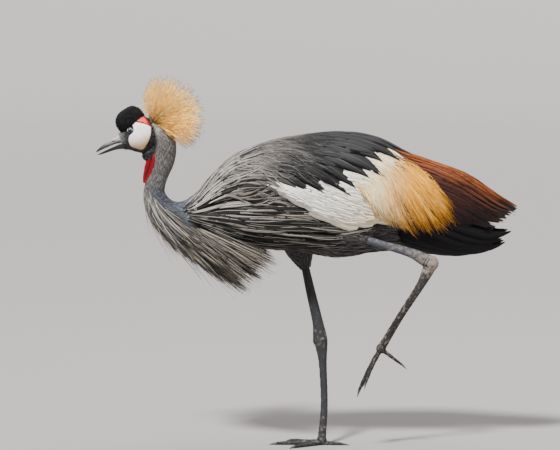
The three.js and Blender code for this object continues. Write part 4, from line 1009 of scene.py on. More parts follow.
LOWEST = [
    # station along the body, and the lowest angle that a plume reaches there
    (-262, 176), (-220, 168), (-100, 160), (-43, 152), (0, 143), (55, 134), (110, 126), (160, 118),
]
FURTHEST = [
    # angle at the fan's end, and how far back the plumes there may reach
    (66, -105), (78, -105), (86, -75), (95, -35), (105, 0), (113, 40), (120, 100),
]
for side, name in SIDES:
    locks, each, steps = 250, 6, 8
    count = locks * each
    own = lambda by: rng.normal(0, by, count)
    whole = lambda values: np.repeat(values, each)
    share = rng.uniform(0, 1, locks)
    lower = step(share, 0.42, 0.6)
    start = whole(-0.262 + rng.uniform(0, 1, locks) ** 1.1 * (0.08 + 0.20 * lower)) + own(0.004)
    length = whole(rng.uniform(0.070, 0.105, locks) + 0.06 * lower) + own(0.006)
    share, lower = whole(share) + own(0.006), whole(lower)
    last = MIDDLE_ANGLE + (share - FAN_MIDDLE) * OPEN
    last = np.interp(last, *np.transpose(FURTHEST)) / 1000 + own(0.006)
    end = np.minimum(start + length, last)
    start = np.minimum(start, end - 0.07)
    length = end - start
    drift = whole(rng.normal(0, 0.020, locks)) + own(0.005)

    def bounded(x, share):
        least = np.interp(x * 1000, *np.transpose(LOWEST)) - 12 * rng.uniform(0, 1, count) ** 2
        return np.radians(np.minimum(np.degrees(flow(x, share)), least))
    root = np.stack([start, bounded(start, share)], -1)
    tip = np.stack([start + length, bounded(start + length, share + drift)], -1)
    middle = bounded(start + length / 2, share) - (root[:, 1] + tip[:, 1]) / 2
    middle = middle + whole(rng.normal(0, 0.04, locks))
    order = rng.uniform(0, 1, count)
    low = 0.0030 + 0.0060 * step(start, -0.25, -0.17) * (1 - lower) + 0.0034 * order
    upper_back = step(-share, -0.46, -0.30)
    front = step(-start, 0.19, 0.25)
    usual = 0.16 + 0.20 * step(-share, -0.64, -0.54)
    usual = usual * (1 - 0.5 * step(start + length / 2, -0.08, 0.03))
    chance = np.maximum(np.maximum(usual, 0.42 * upper_back), 0.46 * front)
    pale = (rng.uniform(0, 1, count) < chance) * rng.uniform(0.6, 1, count)
    width = rng.uniform(0.0060, 0.0095, count) * (1 - 0.72 * pale) * (1 - 0.35 * upper_back)
    low = (low + 0.0010 * (pale > 0))[:, None]
    rings = on_flank(side, root, tip,
                     lambda u, v, t: bed(u, v) + low * np.minimum(1, 0.35 + 1.6 * t), width,
                     steps=steps, shape=POINTED, arch=0.35, sag=np.degrees(middle))
    dark = blend(linear("0f0d0c"), linear("353332"), upper_back)
    light = blend(linear("8f877d"), linear("c4bfb8"), np.maximum(upper_back, front))
    base = blend(dark, light, pale) * rng.uniform(0.6, 1.3, (count, 1))
    colour = base[:, None] * np.linspace(1.1, 0.8, steps)[None, :, None]
    coat(f"shoulder_{name}_plumes", rings, colour, on_map(root), plume, "hackle_feather",
         f"shoulder_{name}")


# The belly and the thighs
# Short, blackish brown feathers with frayed edges clothe the belly, the vent and both thighs, and
# draw in round the bare shins. The lifted left thigh bulges from the flank.
fur = feather_finish("belly_vane", barbs=30, slant=12, streak=(6, 2), contrast=0.4, rough=0.7,
                     sheen=0.2, relief=0.5)
PEAT, EARTH = linear("171413"), linear("2b2523")
THIGHS = {
    # along, across, up, depth and width, in mm
    "right": [(-50, 48, 412, 34, 26), (-44, 45, 385, 29, 24), (-37, 42, 361, 19, 16),
              (-31, 38.5, 344, 9.5, 9)],
    "left": [(-40, -46, 436, 40, 24), (10, -55, 428, 31, 22), (52, -63, 419, 20, 16),
             (86, -65.5, 410.5, 9.5, 9)],
}


def on_limb(table):
    """A surface round a limb: share of its length, angle from its rear side, lift off the skin."""
    rows = np.column_stack([np.linspace(0, 1, len(table)), np.array(table, float) / 1000])

    def surface(share, angle, lift=0.0):
        share, angle, lift = as_arrays(share, angle, lift)
        row = through(rows, share)
        ahead = unit(through(rows, share + 0.004)[..., :3] - through(rows, share - 0.004)[..., :3])
        rear = unit(np.cross(ahead, (0.0, 1.0, 0.0)))
        over = np.cross(rear, ahead)
        deep, wide = row[..., 3] + lift, row[..., 4] + lift
        return (row[..., :3] + rear * (deep * np.cos(angle))[..., None]
                + over * (wide * np.sin(angle))[..., None])
    return surface


def fluffed(own, t):
    """Lift of the short feathers, whose tips stand off the skin by their own amount."""
    return own * np.minimum(1, 1.5 * t)


parts = []
for side in (-1, 1):
    x, angle = spread((-0.20, 0.25), (math.radians(108), math.pi), 46, 20)
    root = np.stack([x, side * angle], -1)
    length = rng.uniform(0.026, 0.036, len(x)) * (1 - 0.3 * step(x, 0.16, 0.24))
    tip = root + np.stack([length, rng.normal(0, 0.05, len(x))], -1)
    own = rng.uniform(0.0006, 0.0032, (len(x), 1))
    rings = laid_blades(on_body, root, tip,
                        lambda u, v, t: -0.001 + fluffed(own, t) - 0.012 * step(u, 0.20, 0.26),
                        rng.uniform(0.0055, 0.0085, len(x)), steps=6, shape=POINTED, arch=0.2)
    parts.append((rings, on_map(root), shades(rings, (PEAT, EARTH), 0.2, along=(0.7, 1.2))))
rings, colour, place = gather(parts)
coat("belly_feathers", rings, colour, place, fur, "black_feather")
for name, table in THIGHS.items():
    surface = on_limb(table)
    core = tube(f"thigh_core_{name}", surface(np.linspace(0, 1, 24)[:, None], turns, -0.002))
    tint(core, PEAT)
    core.data.materials.append(down)
    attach(core, "root")
    share, angle = spread((0.0, 0.93), (-math.pi, math.pi), 30, 26)
    root = np.stack([share, angle], -1)
    length = rng.uniform(0.16, 0.26, len(share))
    tip = root + np.stack([length, rng.normal(0, 0.12, len(share))], -1)
    own = rng.uniform(0.0004, 0.003, (len(share), 1))
    rings = laid_blades(surface, root, np.minimum(tip, (1.0, 9)),
                        lambda u, v, t: -0.002 + fluffed(own, t), 0.0075 - 0.004 * share, steps=6,
                        shape=POINTED, arch=0.2, nudge=(0.01, 0.02))
    colour = shades(rings, (PEAT, EARTH), 0.2, along=(0.7, 1.2))
    place = np.stack([share, 0.5 + angle / (2 * math.pi)], -1)
    coat(f"thigh_{name}_feathers", rings, colour, place, fur, "black_feather", f"thigh_{name}")


# The bare legs and feet
# Long slate legs in scaly skin: the shin, the swollen wrinkled ankle, the shank with broad plates
# down its front, and four toes. Dried mud pales the left ankle and browns the feet.
LEGS = {
    # along, across, up, depth and width, in mm
    "right": {
        "shin": [(-34, 40, 354, 7.6, 7.2), (-22, 32, 300, 9.2, 8.2), (-8, 25, 240, 10.6, 8.8),
                 (-4, 23, 214, 13.6, 10.5), (-3, 22, 204, 14, 11)],
        "ankle": (-3, 22, 204, 14.6, 11.2),
        "shank": [(-3, 22, 204, 13.6, 10.6), (-1, 21, 195, 12.6, 9.9), (2, 17, 160, 7.6, 6.6),
                  (5, 8, 80, 6.6, 5.8), (1, 1.5, 22, 7.6, 7), (0, 0, 10, 9, 9)],
        "foot": (0, 0, 9.4),
    },
    "left": {
        "shin": [(74, -65, 413.5, 7.6, 7.2), (125, -66, 398, 7.6, 7.2), (170, -63, 384.5, 9.4, 8.2),
                 (201, -60.5, 369, 13, 10.5), (208, -60, 366, 13.4, 11)],
        "ankle": (210, -60, 364, 15, 11.2),
        "shank": [(209, -60, 362, 13.6, 10.6), (207, -59.8, 356, 12.6, 9.8),
                  (190, -57.5, 321, 7.8, 6.8), (152, -53, 261, 6.6, 5.8), (121, -49, 208, 7.4, 6.6),
                  (114, -48, 196, 8.8, 8)],
        "foot": (114, -48, 196),
    },
}
TOES = [
    # name, length, turn from straight ahead, width and height at the root, claw length
    ("inner", 60, 38, 11, 10, 13), ("middle", 80, 0, 12, 11, 15),
    ("outer", 64, -36, 11, 10, 13), ("hind", 32, 172, 10, 9, 15),
]
FRONT_PLATES, REAR_PLATES, FOLD_APART = 21, 34, 0.0036


def toe_line(name, title, length, turn, height):
    """Points down the middle of a toe, from the foot's joint to the claw."""
    foot = np.array(LEGS[name]["foot"], float)
    turn = math.radians(turn)
    t = np.linspace(0, 1, 24)[:, None]
    if name == "right":
        way = np.array([-math.cos(turn), -math.sin(turn), 0])
        reach = 9 + length
        line = foot + way * (reach * t)
        t = t[:, 0]
        pads = 1 + 0.10 * np.sin(t * 9)
        line[:, 2] = height / 2 * np.interp(t, [0, 0.5, 1], [1, 0.85, 0.56]) * pads
        return line, way
    hind = title == "hind"
    drop = math.radians(38 if hind else 58)
    apart = 0 if hind else -0.42 * turn
    fore = 1 if hind else -1
    way = np.array([fore * math.cos(drop) * math.cos(apart), math.sin(apart), -math.sin(drop)])
    bend = foot + way * length * 0.6
    end = foot + way * (10 + length) + (6, 0, -4)
    return (foot + way * 3) * (1 - t)**2 + bend * 2 * t * (1 - t) + end * t * t, way


def swept(name, line, half_deep, half_wide, up, around=20):
    """A closed tube along a line, with its own depth and width at each point."""
    line = np.asarray(line, float) / 1000
    ahead = unit(np.gradient(line, axis=0))
    over = unit(np.cross(ahead, up))[:, None]
    rise = np.cross(over[:, 0], ahead)[:, None]
    turn = np.linspace(0, 2 * math.pi, around, endpoint=False)[None, :, None]
    deep, wide = (np.asarray(v, float)[:, None, None] / 1000 for v in (half_deep, half_wide))
    return tube(name, line[:, None] + over * wide * np.cos(turn) + rise * deep * np.sin(turn))


scaly, tree = new_finish("scaly_leg_skin")
spot = spot_on(tree)
tone, wet = tone_of(tree)
scales = {"Vector": spot, "Scale": 420.0}
gap = wire(tree, "ShaderNodeTexVoronoi", scales, feature="DISTANCE_TO_EDGE").outputs["Distance"]
seam = spanned(tree, gap, 0.0, 0.12)
scale_hue = wire(tree, "ShaderNodeTexVoronoi", scales).outputs["Color"]
scale_hue = wire(tree, "ShaderNodeSeparateXYZ", {0: scale_hue}).outputs[0]
grime = noise(tree, spot, 160.0, 5.0)
fine = noise(tree, spot, 1400.0, 3.0)
mud = maths(tree, "MULTIPLY_ADD", wet, 1.0, maths(tree, "MULTIPLY_ADD", grime, 1.4, -0.95))
mud = spanned(tree, mud, 0.02, 0.40)
own = maths(tree, "MULTIPLY_ADD", scale_hue, 0.5, 0.7)
own = maths(tree, "MULTIPLY", own, maths(tree, "MULTIPLY_ADD", seam, 0.55, 0.45))
mud_hue = mixed(tree, fine, opaque("57493a"), opaque("a2988b"))
hue = mixed(tree, mud, scaled(tree, tone, own), mud_hue)
height = maths(tree, "ADD", seam, maths(tree, "ADD", maths(tree, "MULTIPLY", fine, 0.5), mud))
dress(tree, {"Base Color": hue, "Roughness": 0.6, "Specular IOR Level": 0.4}, height, 0.7, 0.0005)

horn, tree = new_finish("dark_horn")
grain = noise(tree, spot_on(tree), 500.0, 5.0)
hue = mixed(tree, grain, opaque("1d1c1e"), opaque("57534f"))
dress(tree, {"Base Color": hue, "Roughness": 0.4}, grain, 0.3, 0.0004)

for name, leg in LEGS.items():
    tubes = [tube(f"leg_{name}", on_limb(leg["shin"])(np.linspace(0, 1, 40)[:, None], turns)),
             tube("shank", on_limb(leg["shank"])(np.linspace(0, 1, 50)[:, None], turns))]
    deep, wide = leg["ankle"][3:]
    for place, size in ((leg["ankle"][:3], (deep, wide, deep)), (leg["foot"], (9.6, 9.6, 9.6))):
        tubes.append(ball(np.array(place) / 1000, np.array(size) / 1000))
    nails = []
    for title, length, turn, width, high, claw in TOES:
        line, way = toe_line(name, title, length, turn, high)
        t = np.linspace(0, 1, len(line))
        taper = (1 - 0.45 * t) * (1 + 0.07 * np.cos(2 * math.pi * (t * 3.6 + 0.1)))
        up = (0, 0, 1) if name == "right" else np.cross(way, (0, 1, 0))
        tubes.append(swept("toe", line, high / 2 * taper, width / 2 * taper, up))
        t = np.linspace(0, 1, 14)[:, None]
        ahead = unit(line[-1] - line[-2])
        hooked = np.array((0, 0, -1.0))
        if name == "left":
            hooked = unit(np.cross(ahead, (0, 1 if title != "hind" else -1, 0)))
        nail = line[-1] - ahead + ahead * (claw + 1) * t + hooked * claw * 0.14 * t * t
        if name == "right":
            nail[:, 2] = np.maximum(nail[:, 2], 0.22 * width * (1 - t[:, 0]**1.3) + 0.5)
        radius = 0.24 * width + (0.3 - 0.24 * width) * t[:, 0]**1.3
        nails.append(swept("nail", nail, radius, radius * 0.8, up, 12))
    foot = fuse(tubes, 0.0010, 0.5, 3)
    spots = points_of(foot)
    rows = np.array(leg["shank"], float) / 1000
    table = np.column_stack([np.linspace(0, 1, len(rows)), rows])
    stations = 300
    samples = through(table, np.linspace(0, 1, stations))[:, :3]
    gap = np.stack([np.linalg.norm(spots - sample, axis=1) for sample in samples])
    nearest = gap.argmin(0)
    down_shank = nearest / (stations - 1)
    way = samples[np.minimum(nearest + 1, stations - 1)] - samples[np.maximum(nearest - 1, 0)]
    front = -unit(np.cross(unit(way), (0, 1.0, 0)))
    out = unit(spots - samples[nearest])
    facing = (out * front).sum(-1)
    on_shank = (gap.min(0) < 0.011) & (down_shank > 0.10) & (down_shank < 0.97)
    plates = 0.0009 * ((down_shank * FRONT_PLATES) % 1)**0.7 * step(facing, 0.35, 0.75)
    plates = plates + 0.0005 * ((down_shank * REAR_PLATES) % 1) * step(-facing, 0.5, 0.8)
    by_ankle = np.linalg.norm(spots - np.array(leg["ankle"][:3]) / 1000, axis=1)
    fold = np.sin(by_ankle * 2 * math.pi / FOLD_APART)
    fold = fold * step(-by_ankle, -0.026, -0.012) * step(facing, 0.1, 0.7)
    spots = spots + out * (np.where(on_shank, plates, 0) + 0.0006 * fold)[:, None]
    if name == "right":
        spots[:, 2] = np.maximum(spots[:, 2], 0)
    move_points(foot, spots)
    by_foot = np.linalg.norm(spots - np.array(leg["foot"]) / 1000, axis=1)
    if name == "left":
        dry = blend(linear("37332e"), linear("15110e"), step(down_shank, 0.2, 0.6))
        bare = blend(linear("474a52"), dry, step(down_shank, 0.03, 0.08))
        shade = step(-fold, 0.1, 0.7)
        bare = bare * (1 - 0.6 * shade)[:, None]
        splash = 0.16 * step(-by_ankle, -0.11, -0.03) * step(-down_shank, -0.05, -0.01)
        crust = 0.40 * step(-by_ankle, -0.060, -0.012) * step(-spots[:, 2], -0.40, -0.34)
        crust = crust * step(spots[:, 2], 0.335, 0.352)
        muddy = (0.22 + splash + crust - 0.5 * shade - 0.02 * step(down_shank, 0.05, 0.2)
                 + 0.08 * step(-by_foot, -0.05, -0.012))
    else:
        bare = np.array(linear("232427")) * np.ones((len(spots), 1))
        muddy = 0.10 + 0.12 * step(-by_ankle, -0.05, -0.01) + 0.12 * step(-by_foot, -0.10, -0.01)
    tint(foot, np.column_stack([bare, muddy]))
    foot.data.materials.append(scaly)
    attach(foot, "root")
    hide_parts(f"tibia_{name}", f"tarsus_{name}", *(f"toe_{name}_{toe[0]}" for toe in TOES))
    pick(*nails)
    bpy.ops.object.join()
    nails = bpy.context.object
    nails.name = f"nails_{name}"
    nails.data.materials.append(horn)
    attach(nails, "root")
    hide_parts(*(f"claw_{name}_{toe[0]}" for toe in TOES))


# The face
# Bare-looking grey lores run from the bill to the eye, and black skin rings it. The eye lies in a
# shallow socket between two thick folded lids, and a crease runs back from the corner of the bill.
EYE_AT = (0.0180, 0.0132)  # ahead and up in the head's frame
EYE_TILT = 0.32  # radians
LID_LONG, LID_HIGH = 0.0053, 0.0044


def side_of_head(ahead, up, side, lift=0.0):
    """A point of the skull at a height on its left (1) or right (-1) side."""
    top, bottom, _ = np.moveaxis(through(SKULL, np.asarray(ahead, float)), -1, 0)
    rise = np.clip((up - (top + bottom) / 2) / ((top - bottom) / 2), -0.985, 0.985)
    return on_head(ahead, -side * np.arccos(rounded(rise, 1 / HEAD_OVAL)), lift)


def round_eye(point):
    """How far a point lies from the eye, in widths of the opening between the lids."""
    ahead, up = head_terms(point)
    ahead, up = ahead - EYE_AT[0], up - EYE_AT[1]
    along = ahead * math.cos(EYE_TILT) + up * math.sin(EYE_TILT)
    over = up * math.cos(EYE_TILT) - ahead * math.sin(EYE_TILT)
    return np.hypot(along / LID_LONG, over / LID_HIGH), over


def face_marking(point):
    """Grey lores with black round the eye and down to the chin."""
    ahead, up = head_terms(point)
    near_eye, _ = round_eye(point)
    lores = step(ahead, 0.018, 0.026) * step(up, -0.008, 0.001) * step(near_eye, 1.15, 1.8)
    grey = blend(linear("191a1c"), linear("595a56"), step(ahead, 0.026, 0.041))
    return blend(SOOT, grey, lores)


def ridge(v, middle, width):
    """A soft ridge, 1 at its middle."""
    return np.exp(-((v - middle) / width) ** 2)


f, a = np.meshgrid(np.linspace(-0.008, 0.0428, 130),
                   np.linspace(0, 2 * math.pi, 300, endpoint=False), indexing="ij")
bare = on_head(f, a)
near_eye, over = round_eye(bare)
_, up = head_terms(bare)
lid = 0.0012 * ridge(near_eye, 1.18, 0.24) * (1 + 0.25 * np.sign(over))
fold = 0.00016 * np.sin(near_eye * 15) * step(near_eye, 1.3, 1.5) * step(-near_eye, -2.9, -1.9)
socket = -0.0042 * step(-near_eye, -1.0, -0.84)
gape = -0.0010 * ridge(up, -0.0045, 0.0009) * step(f, 0.026, 0.033)
jaw = 0.0009 * ridge(up, -0.0085, 0.0035) * step(f, 0.022, 0.036)
away = 0.0004 - 0.003 * step(-f, 0.002, 0.008)
face = tube("face", on_head(f, a, away + lid + fold + socket + gape + jaw))
tint(face, face_marking(points_of(face)))
lore_skin, tree = new_finish("lore_skin")
spot = spot_on(tree)
grain = noise(tree, spot, 1500.0, 4.0)
blotch = spanned(tree, noise(tree, spot, 300.0, 3.0), 0.38, 0.64)
blotch = maths(tree, "MULTIPLY_ADD", grain, 0.8, maths(tree, "MULTIPLY_ADD", blotch, 0.9, 0.12))
hue = scaled(tree, tone_of(tree)[0], blotch)
dress(tree, {"Base Color": hue, "Roughness": 0.55}, grain, 0.5, 0.0004)
face.data.materials.append(lore_skin)
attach(face, "root")


# The eyes
# Wet, bright balls with a round black pupil in a slate-blue ring that darkens at its rim. Fine
# fibres run out from the pupil.
EYE_RADIUS, EYE_SUNK, RING_RADIUS = 0.0062, 0.0043, 0.0047
wet_eye, tree = new_finish("wet_eye")
split = wire(tree, "ShaderNodeSeparateXYZ", {0: tone_of(tree)[0]})
off, across, over = split.outputs
rays = wire(tree, "ShaderNodeCombineXYZ", {0: maths(tree, "MULTIPLY", across, 46.0),
                                           1: maths(tree, "MULTIPLY", over, 46.0),
                                           2: maths(tree, "MULTIPLY", off, 3.0)})
fibre = noise(tree, rays.outputs[0], 1.0, 3.0)
ramp = wire(tree, "ShaderNodeValToRGB", {"Fac": off})
RING = [
    # share of the way from the middle to the rim, colour
    (0.0, "020203"), (0.42, "020203"), (0.46, "0e1216"), (0.58, "222b35"), (0.76, "303d4b"),
    (0.86, "0c0e11"), (1.0, "030304"),
]
for place, code in RING:
    ends = ramp.color_ramp.elements
    stop = ends.new(place) if 0 < place < 1 else ends[int(place)]
    stop.color = opaque(code)
hue = scaled(tree, ramp.outputs[0], maths(tree, "MULTIPLY_ADD", fibre, 0.9, 0.55))
dress(tree, {"Base Color": hue, "Roughness": 0.25, "Coat Weight": 0.4, "Coat Roughness": 0.03})
for side, name in ((1, "left"), (-1, "right")):
    bpy.ops.object.select_all(action="DESELECT")
    bpy.ops.mesh.primitive_uv_sphere_add(segments=64, ring_count=48, radius=EYE_RADIUS)
    eye = bpy.context.object
    eye.name = f"eyeball_{name}"
    spots = points_of(eye)
    off = np.hypot(spots[:, 0], spots[:, 1])
    turn = np.arctan2(spots[:, 1], spots[:, 0])
    reach = np.where(spots[:, 2] > 0, np.clip(off / RING_RADIUS, 0, 1), 1.0)
    tint(eye, np.stack([reach, 0.5 + 0.5 * np.cos(turn), 0.5 + 0.5 * np.sin(turn)], -1))
    spots[:, 2] += 0.0005 * step(spots[:, 2], 0.0046, 0.0062)
    deep = side_of_head(*EYE_AT, side)[1] + side * EYE_SUNK
    look = unit(0.14 * forward + side * near + 0.06 * upward)
    right = unit(np.cross(upward, look))
    middle = in_head(EYE_AT[0], 0, EYE_AT[1]) + (0, deep, 0)
    move_points(eye, middle + spots @ np.stack([right, np.cross(look, right), look]))
    eye.data.materials.append(wet_eye)
    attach(eye, "root")
    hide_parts(f"eye_{name}")


# The bill
# A stout straight bill of grey horn, parted a little. The upper half has a rounded ridge and a slit
# of a nostril in a long groove, and both halves darken towards their tips and cutting edges.
BILL_ROOT = 0.036
MOUTH_TOP = ((BILL_ROOT, -0.0042), (0.045, -0.0028), (0.056, -0.0018), (0.075, -0.0028),
             (0.095, -0.0046))
MOUTH_LOW = ((BILL_ROOT, -0.0050), (0.057, -0.0058), (0.079, -0.0074), (0.096, -0.0094))
RIDGE = ((BILL_ROOT, 0.0150), (0.043, 0.0130), (0.058, 0.0096), (0.074, 0.0060), (0.086, 0.0020),
         (0.093, -0.0012), (0.097, -0.0043))
KEEL = ((BILL_ROOT, -0.0172), (0.044, -0.0166), (0.052, -0.0142), (0.062, -0.0128),
        (0.080, -0.0122), (0.091, -0.0114), (0.0955, -0.0100))
HALF = ((BILL_ROOT, 0.0092), (0.044, 0.0088), (0.058, 0.0072), (0.073, 0.0054), (0.087, 0.0035),
        (0.093, 0.0022), (0.097, 0.0004))
GROOVE = ((BILL_ROOT, 0.0040), (0.072, 0.0030))
SLIT = (0.0572, 0.0046)  # the middle of the nostril


def table_line(table, at):
    """The second number of a table, at places given in terms of its first."""
    return through(np.array(table), at)[..., 0]


horn_bill, tree = new_finish("bill_horn")
spot = spot_on(tree)
long_way = wire(tree, "ShaderNodeMapping", {"Vector": spot, "Rotation": (0, -head_droop, 0),
                                            "Scale": (70.0, 500.0, 500.0)}).outputs[0]
grain = noise(tree, long_way, 1.0, 5.0)
worn = noise(tree, spot, 330.0, 4.0)
wear = maths(tree, "MULTIPLY_ADD", grain, 0.7, maths(tree, "MULTIPLY_ADD", worn, 0.9, 0.20))
dress(tree, {"Base Color": scaled(tree, tone_of(tree)[0], wear), "Roughness": 0.42},
      maths(tree, "ADD", grain, worn), 0.35, 0.0003)

for name, edge, outer, way in (("upper", MOUTH_TOP, RIDGE, 1), ("lower", MOUTH_LOW, KEEL, -1)):
    last = outer[-1][0]
    f, a = np.meshgrid(last - (last - 0.037) * (1 - np.linspace(0, 1, 110)) ** 1.15,
                       np.linspace(0, math.pi, 41), indexing="ij")
    low, high = table_line(edge, f), table_line(outer, f)
    half = table_line(HALF, np.minimum(f * HALF[-1][0] / last, HALF[-1][0]))
    across = half * rounded(np.cos(a), 0.85)
    up = low + (high - low) * rounded(np.sin(a), 0.78)
    if name == "upper":
        slit = np.hypot((f - SLIT[0]) / 0.0036, (up - SLIT[1]) / 0.0012)
        trench = ridge(up, table_line(GROOVE, f), 0.0022) * step(-f, -0.074, -0.062)
        dent = 0.0007 * trench + 0.0016 * step(-slit, -1.15, -0.6)
        across = across - np.sign(np.cos(a)) * dent
    inner = np.linspace(1, -1, 13)[None, 1:-1]
    roof = low[:, :1] + way * 0.0012 * (1 - inner ** 2) * (half[:, :1] / 0.009)
    ring_across = np.concatenate([across, across[:, -1:] * inner], 1)
    ring_up = np.concatenate([up, roof], 1)
    bill = tube(f"beak_{name}", in_head(f[:, :1], ring_across, ring_up))
    ahead, up = head_terms(points_of(bill))
    from_edge = up - table_line(edge, ahead)
    tip = step(ahead, 0.074, 0.094)
    lip = ridge(from_edge, 0, 0.0011)
    if name == "upper":
        # The pale band along the top of the upper bill is a painted highlight.
        pale = step(from_edge, 0.003, 0.009) * step(-ahead, -0.090, -0.045)
        base = blend(linear("2b2b2c"), linear("b0aa9e"), pale)
        slit = np.hypot((ahead - SLIT[0]) / 0.0036, (up - SLIT[1]) / 0.0013)
    else:
        base = blend(linear("1a1918"), linear("1f1d1b"), step(-ahead, -0.07, -0.045))
    base = blend(base, linear("14110f"), np.maximum(0.85 * tip, 0.7 * lip))
    if name == "upper":
        base = blend(base, linear("0a0a0b"), step(-slit, -1.1, -0.75))
    tint(bill, base)
    bill.data.materials.append(horn_bill)
    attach(bill, "root")
    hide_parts(f"bill_{name}")


# The bare patches
# Behind each eye lies a smooth white patch of bare skin with a red one over it, both raised a
# little above the black feathers, with a soft rolled rim.
CHEEK = (
    # ahead and up from the head's middle, in mm, round the patch
    (9.5, 23.5), (10.2, 17), (11.6, 11), (15, 7), (23, 3.8), (27, -2.4), (28.6, -9.7),
    (27, -16.6), (16, -25.4), (7.5, -29), (-3, -22.6), (-10.4, -16), (-17, -7), (-21, 3),
    (-21.6, 6.4), (-12.2, 15.6), (-1.8, 21.8), (3, 25.4),
)
BROW = ((-12.6, 30.4), (-17, 27), (-20.4, 18.6), (-21.9, 7.4), (-12.4, 16.4), (-1.9, 22.6),
        (2.4, 26.2), (-1, 28.2))


def bare_patch(name, line, side, thick, hue_at, finish, replaced):
    """A raised patch of skin with the given outline, on one side of the head."""
    line = np.array(line, float) / 1000
    count = len(line)
    turn = np.arange(-3, count + 4)
    rim = through(np.column_stack([turn, line[turn % count]]),
                  np.linspace(0, count, 144, endpoint=False))
    middle = line.mean(0)
    share = np.sin(np.linspace(0.02, 1, 26) * math.pi / 2)
    lift = thick * (1 - share ** 7) ** 0.6
    share = np.append(share, 1.01)
    lift = np.append(lift, -0.0015)
    flat = middle + (rim - middle)[None] * share[:, None, None]
    piece = tube(name, side_of_head(flat[..., 0], flat[..., 1], side, lift[:, None] + 0.0009))
    tint(piece, hue_at(*head_terms(points_of(piece)), np.repeat(share, len(rim))))
    piece.data.materials.append(finish)
    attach(piece, "root")
    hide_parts(replaced)


def soft_skin(name, pimples, relief, rough, depth):
    """Bare skin with so many pimples to the metre, that lets a little light in."""
    finish, tree = new_finish(name)
    spot = spot_on(tree)
    pimple = wire(tree, "ShaderNodeTexVoronoi", {"Vector": spot, "Scale": pimples})
    pimple = pimple.outputs["Distance"]
    cloud = noise(tree, spot, pimples / 5, 4.0)
    mottle = maths(tree, "MULTIPLY_ADD", cloud, 0.30,
                   maths(tree, "MULTIPLY_ADD", pimple, -0.12, 0.88))
    dress(tree, {"Base Color": scaled(tree, tone_of(tree)[0], mottle), "Roughness": rough,
                 "Specular IOR Level": 0.3, "Subsurface Weight": depth,
                 "Subsurface Radius": (0.003, 0.0012, 0.0008)},
          maths(tree, "MULTIPLY_ADD", pimple, -1.0, cloud), relief, 0.0004)
    return finish


def white_hue(ahead, up, share):
    # The skin turns buff towards the bottom and along the lower rim: partly its own buff colour,
    # partly painted shade on the underside and under the rolled rim.
    buff_and_shade = step(-up, -0.004, 0.024) * 0.95 + 0.5 * step(share, 0.93, 1.0) * step(-up, 0.004, 0.02)
    return blend(linear("f8f4ee"), linear("b99a6c"), np.minimum(buff_and_shade, 1))


def red_hue(ahead, up, share):
    deep = np.maximum(step(share, 0.45, 0.9), 0.35 * step(-up, -0.018, -0.012))
    return blend(linear("dc4434"), linear("b40300"), deep)


pale_skin = soft_skin("white_cheek_skin", 700.0, 0.30, 0.5, 0.15)
red_skin = soft_skin("red_skin", 900.0, 0.45, 0.42, 0.12)
for side, name in ((1, "left"), (-1, "right")):
    bare_patch(f"cheek_patch_{name}", CHEEK, side, 0.0017, white_hue, pale_skin,
               f"cheek_{name}")
    bare_patch(f"brow_patch_{name}", BROW, side, 0.0021, red_hue, red_skin,
               f"brow_{name}")


# The wattle
# Crimson bare skin wraps the front of the upper neck and hangs in two creased lobes, each parted
# by a fold from the roll behind it, with painted shade darkening the fold.
rows, columns = 90, 61
t, share = np.meshgrid(np.linspace(0.015, 0.985, rows), np.linspace(-1, 1, columns), indexing="ij")
swell = np.sin(math.pi * t) ** 0.5
limit = np.radians(66) * swell**0.7 * (1 - 0.36 * t)
climb = 0.048 * ridge(np.abs(share), 0.50, 0.28) * (1 - t) ** 2
bulge = 0.0105 * swell * (0.55 + 0.45 * np.minimum(1, 1.6 * t))
lobe = np.cos(share * math.pi / 2) ** 1.5 - 0.20 * ridge(share, 0, 0.16)
from_crease = np.abs(share) - 0.62 + 0.12 * t
crease = -0.0024 * ridge(from_crease, 0, 0.07) * step(t, 0.12, 0.3) * step(-t, -0.96, -0.8)
fine = 0.00035 * np.sin(23 * share + 4 * np.sin(5 * t)) * np.sin(17 * t + 3 * share)
lift = -0.0015 + 0.0043 * np.cos(share * math.pi / 2) ** 0.4 + bulge * lobe + crease + fine
down_neck = 0.268 + 0.288 * t
outer = on_neck(down_neck - climb, math.pi + limit * share, lift)
inner = on_neck(down_neck[:, :3], math.pi + limit[:, :3] * np.array([0.6, 0, -0.6]), -0.006)
wattle = tube("wattle_lobes", np.concatenate([outer, inner], 1))
# Painted shade: the colour darkens to near black along the fold between each lobe and its roll.
dark = ridge(from_crease, 0, 0.055) * step(t, 0.12, 0.3)
hues = blend(linear("78000f"), linear("a40610"), step(t, 0.86, 0.98))
hues = blend(hues, linear("220105"), 0.9 * dark)
hues = np.concatenate([hues, np.tile(linear("4c020a"), (rows, 3, 1))], 1)
tint(wattle, hues.reshape(-1, 3))
wattle.data.materials.append(red_skin)
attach(wattle, "root")
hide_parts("wattle")


# The cap
# A domed cushion of short black velvety feathers stands on the forehead, from the bill's root back
# to the crest. Every tiny feather leans backwards.
RIM = ((-20, 33), (-13, 31), (1.5, 25.6), (11, 21.6), (29.6, 18.6), (43, 15.2))
BLACK_PLUSH = linear("040405")


def cap_rim(ahead):
    """How high on the head the cap's lower edge lies."""
    return np.interp(ahead, *np.array(RIM).T / 1000)


